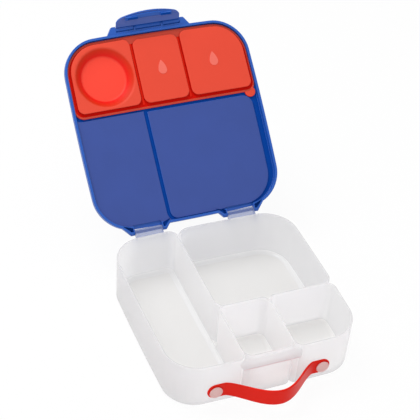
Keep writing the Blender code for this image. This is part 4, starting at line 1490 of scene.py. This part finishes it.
def backdrop_share(wire):
    """1 where a surface is seen by the camera, in a reflection or through glass, else 0."""
    rays = ("Is Camera Ray", "Is Glossy Ray", "Is Transmission Ray")
    camera, glossy, through = (wire.node("ShaderNodeLightPath", out=name) for name in rays)
    return camera + glossy + through


class BuildStage(bpy.types.Operator):
    """Sets the pale floor, the soft lamps, the world and the camera"""

    bl_idname = "lunchbox.build_stage"
    bl_label = "Stage"

    def execute(self, context):
        scene = context.scene
        stage = scene.lunch_box.stage
        grey, white = (0.86, 0.86, 0.86, 1.0), (1.0, 1.0, 1.0, 1.0)
        shape = bmesh.new()
        bmesh.ops.create_grid(shape, x_segments=1, y_segments=1, size=stage.floor / 2)
        floor = new_object("studio_floor", move(shape, (stage.floor_shift, 0, -stage.floor_drop)))
        material, wire = blank("Pale floor")
        paint = wire.node("ShaderNodeBsdfDiffuse", None, {"Color": grey})
        backdrop = wire.node("ShaderNodeEmission", None, {"Color": white, "Strength": 1.0})
        share = backdrop_share(wire) * 0.93
        surface = wire.node("ShaderNodeMixShader", None, {0: share, 1: paint, 2: backdrop})
        wire.node("ShaderNodeOutputMaterial", None, {"Surface": surface})
        floor.data.materials.append(material)

        world = bpy.data.worlds.new("Studio")
        wire = cleared(world)
        room = wire.node("ShaderNodeBackground", None, {"Color": white, "Strength": stage.sky})
        backdrop = wire.node("ShaderNodeBackground", None, {"Color": white, "Strength": 1.0})
        surface = wire.node("ShaderNodeMixShader", None, {0: backdrop_share(wire), 1: room, 2: backdrop})
        wire.node("ShaderNodeOutputWorld", None, {"Surface": surface})
        scene.world = world

        # Name, power, diameter, place, and the point that the lamp faces
        for name, watts, size, spot, aim in (
            ("Overhead", stage.key, 1.0, (-0.5, 0.55, 1.5), (0.0, 0.05, 0.08)),
            ("Front", stage.fill, 1.2, (-0.9, -1.3, 1.1), (0.0, 0.05, 0.05)),
        ):
            lamp = bpy.data.lights.new(name, "AREA")
            lamp.shape, lamp.size, lamp.energy = "DISK", size, watts
            light = bpy.data.objects.new(name, lamp)
            light.location = spot
            light.rotation_euler = (Vector(aim) - Vector(spot)).to_track_quat("-Z", "Y").to_euler()
            scene.collection.objects.link(light)

        spot = (-0.58878, -1.18465, 1.26876)
        yaw, pitch, roll = (math.radians(turn) for turn in (24.884, 39.526, 5.158))
        ahead = Vector((math.cos(pitch) * math.sin(yaw), math.cos(pitch) * math.cos(yaw), -math.sin(pitch)))
        right = Vector((math.cos(yaw), -math.sin(yaw), 0.0))
        up = right.cross(ahead)
        across = right * math.cos(roll) + up * math.sin(roll)
        over = up * math.cos(roll) - right * math.sin(roll)
        turn = Matrix((across, over, -ahead)).transposed()
        lens = bpy.data.cameras.new("Studio camera")
        lens.sensor_width, lens.lens = 36.0, 128.44
        camera = bpy.data.objects.new("Studio camera", lens)
        camera.matrix_world = Matrix.Translation(spot) @ turn.to_4x4()
        scene.collection.objects.link(camera)
        scene.camera = camera
        scene.view_settings.view_transform = "Standard"
        return {"FINISHED"}


class LunchBoxPanel(bpy.types.Panel):
    """The lunch box's steps and sizes"""

    bl_idname = "VIEW3D_PT_lunch_box"
    bl_label = "Lunch Box"
    bl_space_type = "VIEW_3D"
    bl_region_type = "UI"
    bl_category = "Lunch Box"

    def draw(self, context):
        box = context.scene.lunch_box
        for step in STEPS:
            self.layout.operator(step.bl_idname)
        for name in ("tub", "lid", "seal", "latch", "strap", "finishes", "stage"):
            column = self.layout.column(heading=name.capitalize())
            group = getattr(box, name)
            for key in group.__annotations__:
                column.prop(group, key)


STEPS = (BuildTub, BuildLid, BuildSeal, BuildLatch, BuildStrap, BuildStage)
GROUPS = (TubSizes, LidSizes, SealSizes, LatchSizes, StrapSizes, Finishes, StageSettings, LunchBox)


def register():
    """Adds the classes, and the lunch box's settings to the scene."""
    for kind in GROUPS + STEPS + (LunchBoxPanel,):
        bpy.utils.register_class(kind)
    bpy.types.Scene.lunch_box = PointerProperty(type=LunchBox)


def unregister():
    """Takes the settings and the classes away again."""
    del bpy.types.Scene.lunch_box
    for kind in reversed(GROUPS + STEPS + (LunchBoxPanel,)):
        bpy.utils.unregister_class(kind)


def main():
    """Builds the pieces and the stage in order."""
    register()
    bpy.ops.lunchbox.build_tub()
    bpy.ops.lunchbox.build_lid()
    bpy.ops.lunchbox.build_seal()
    bpy.ops.lunchbox.build_latch()
    bpy.ops.lunchbox.build_strap()
    bpy.ops.lunchbox.build_stage()


if __name__ == "__main__":
    main()
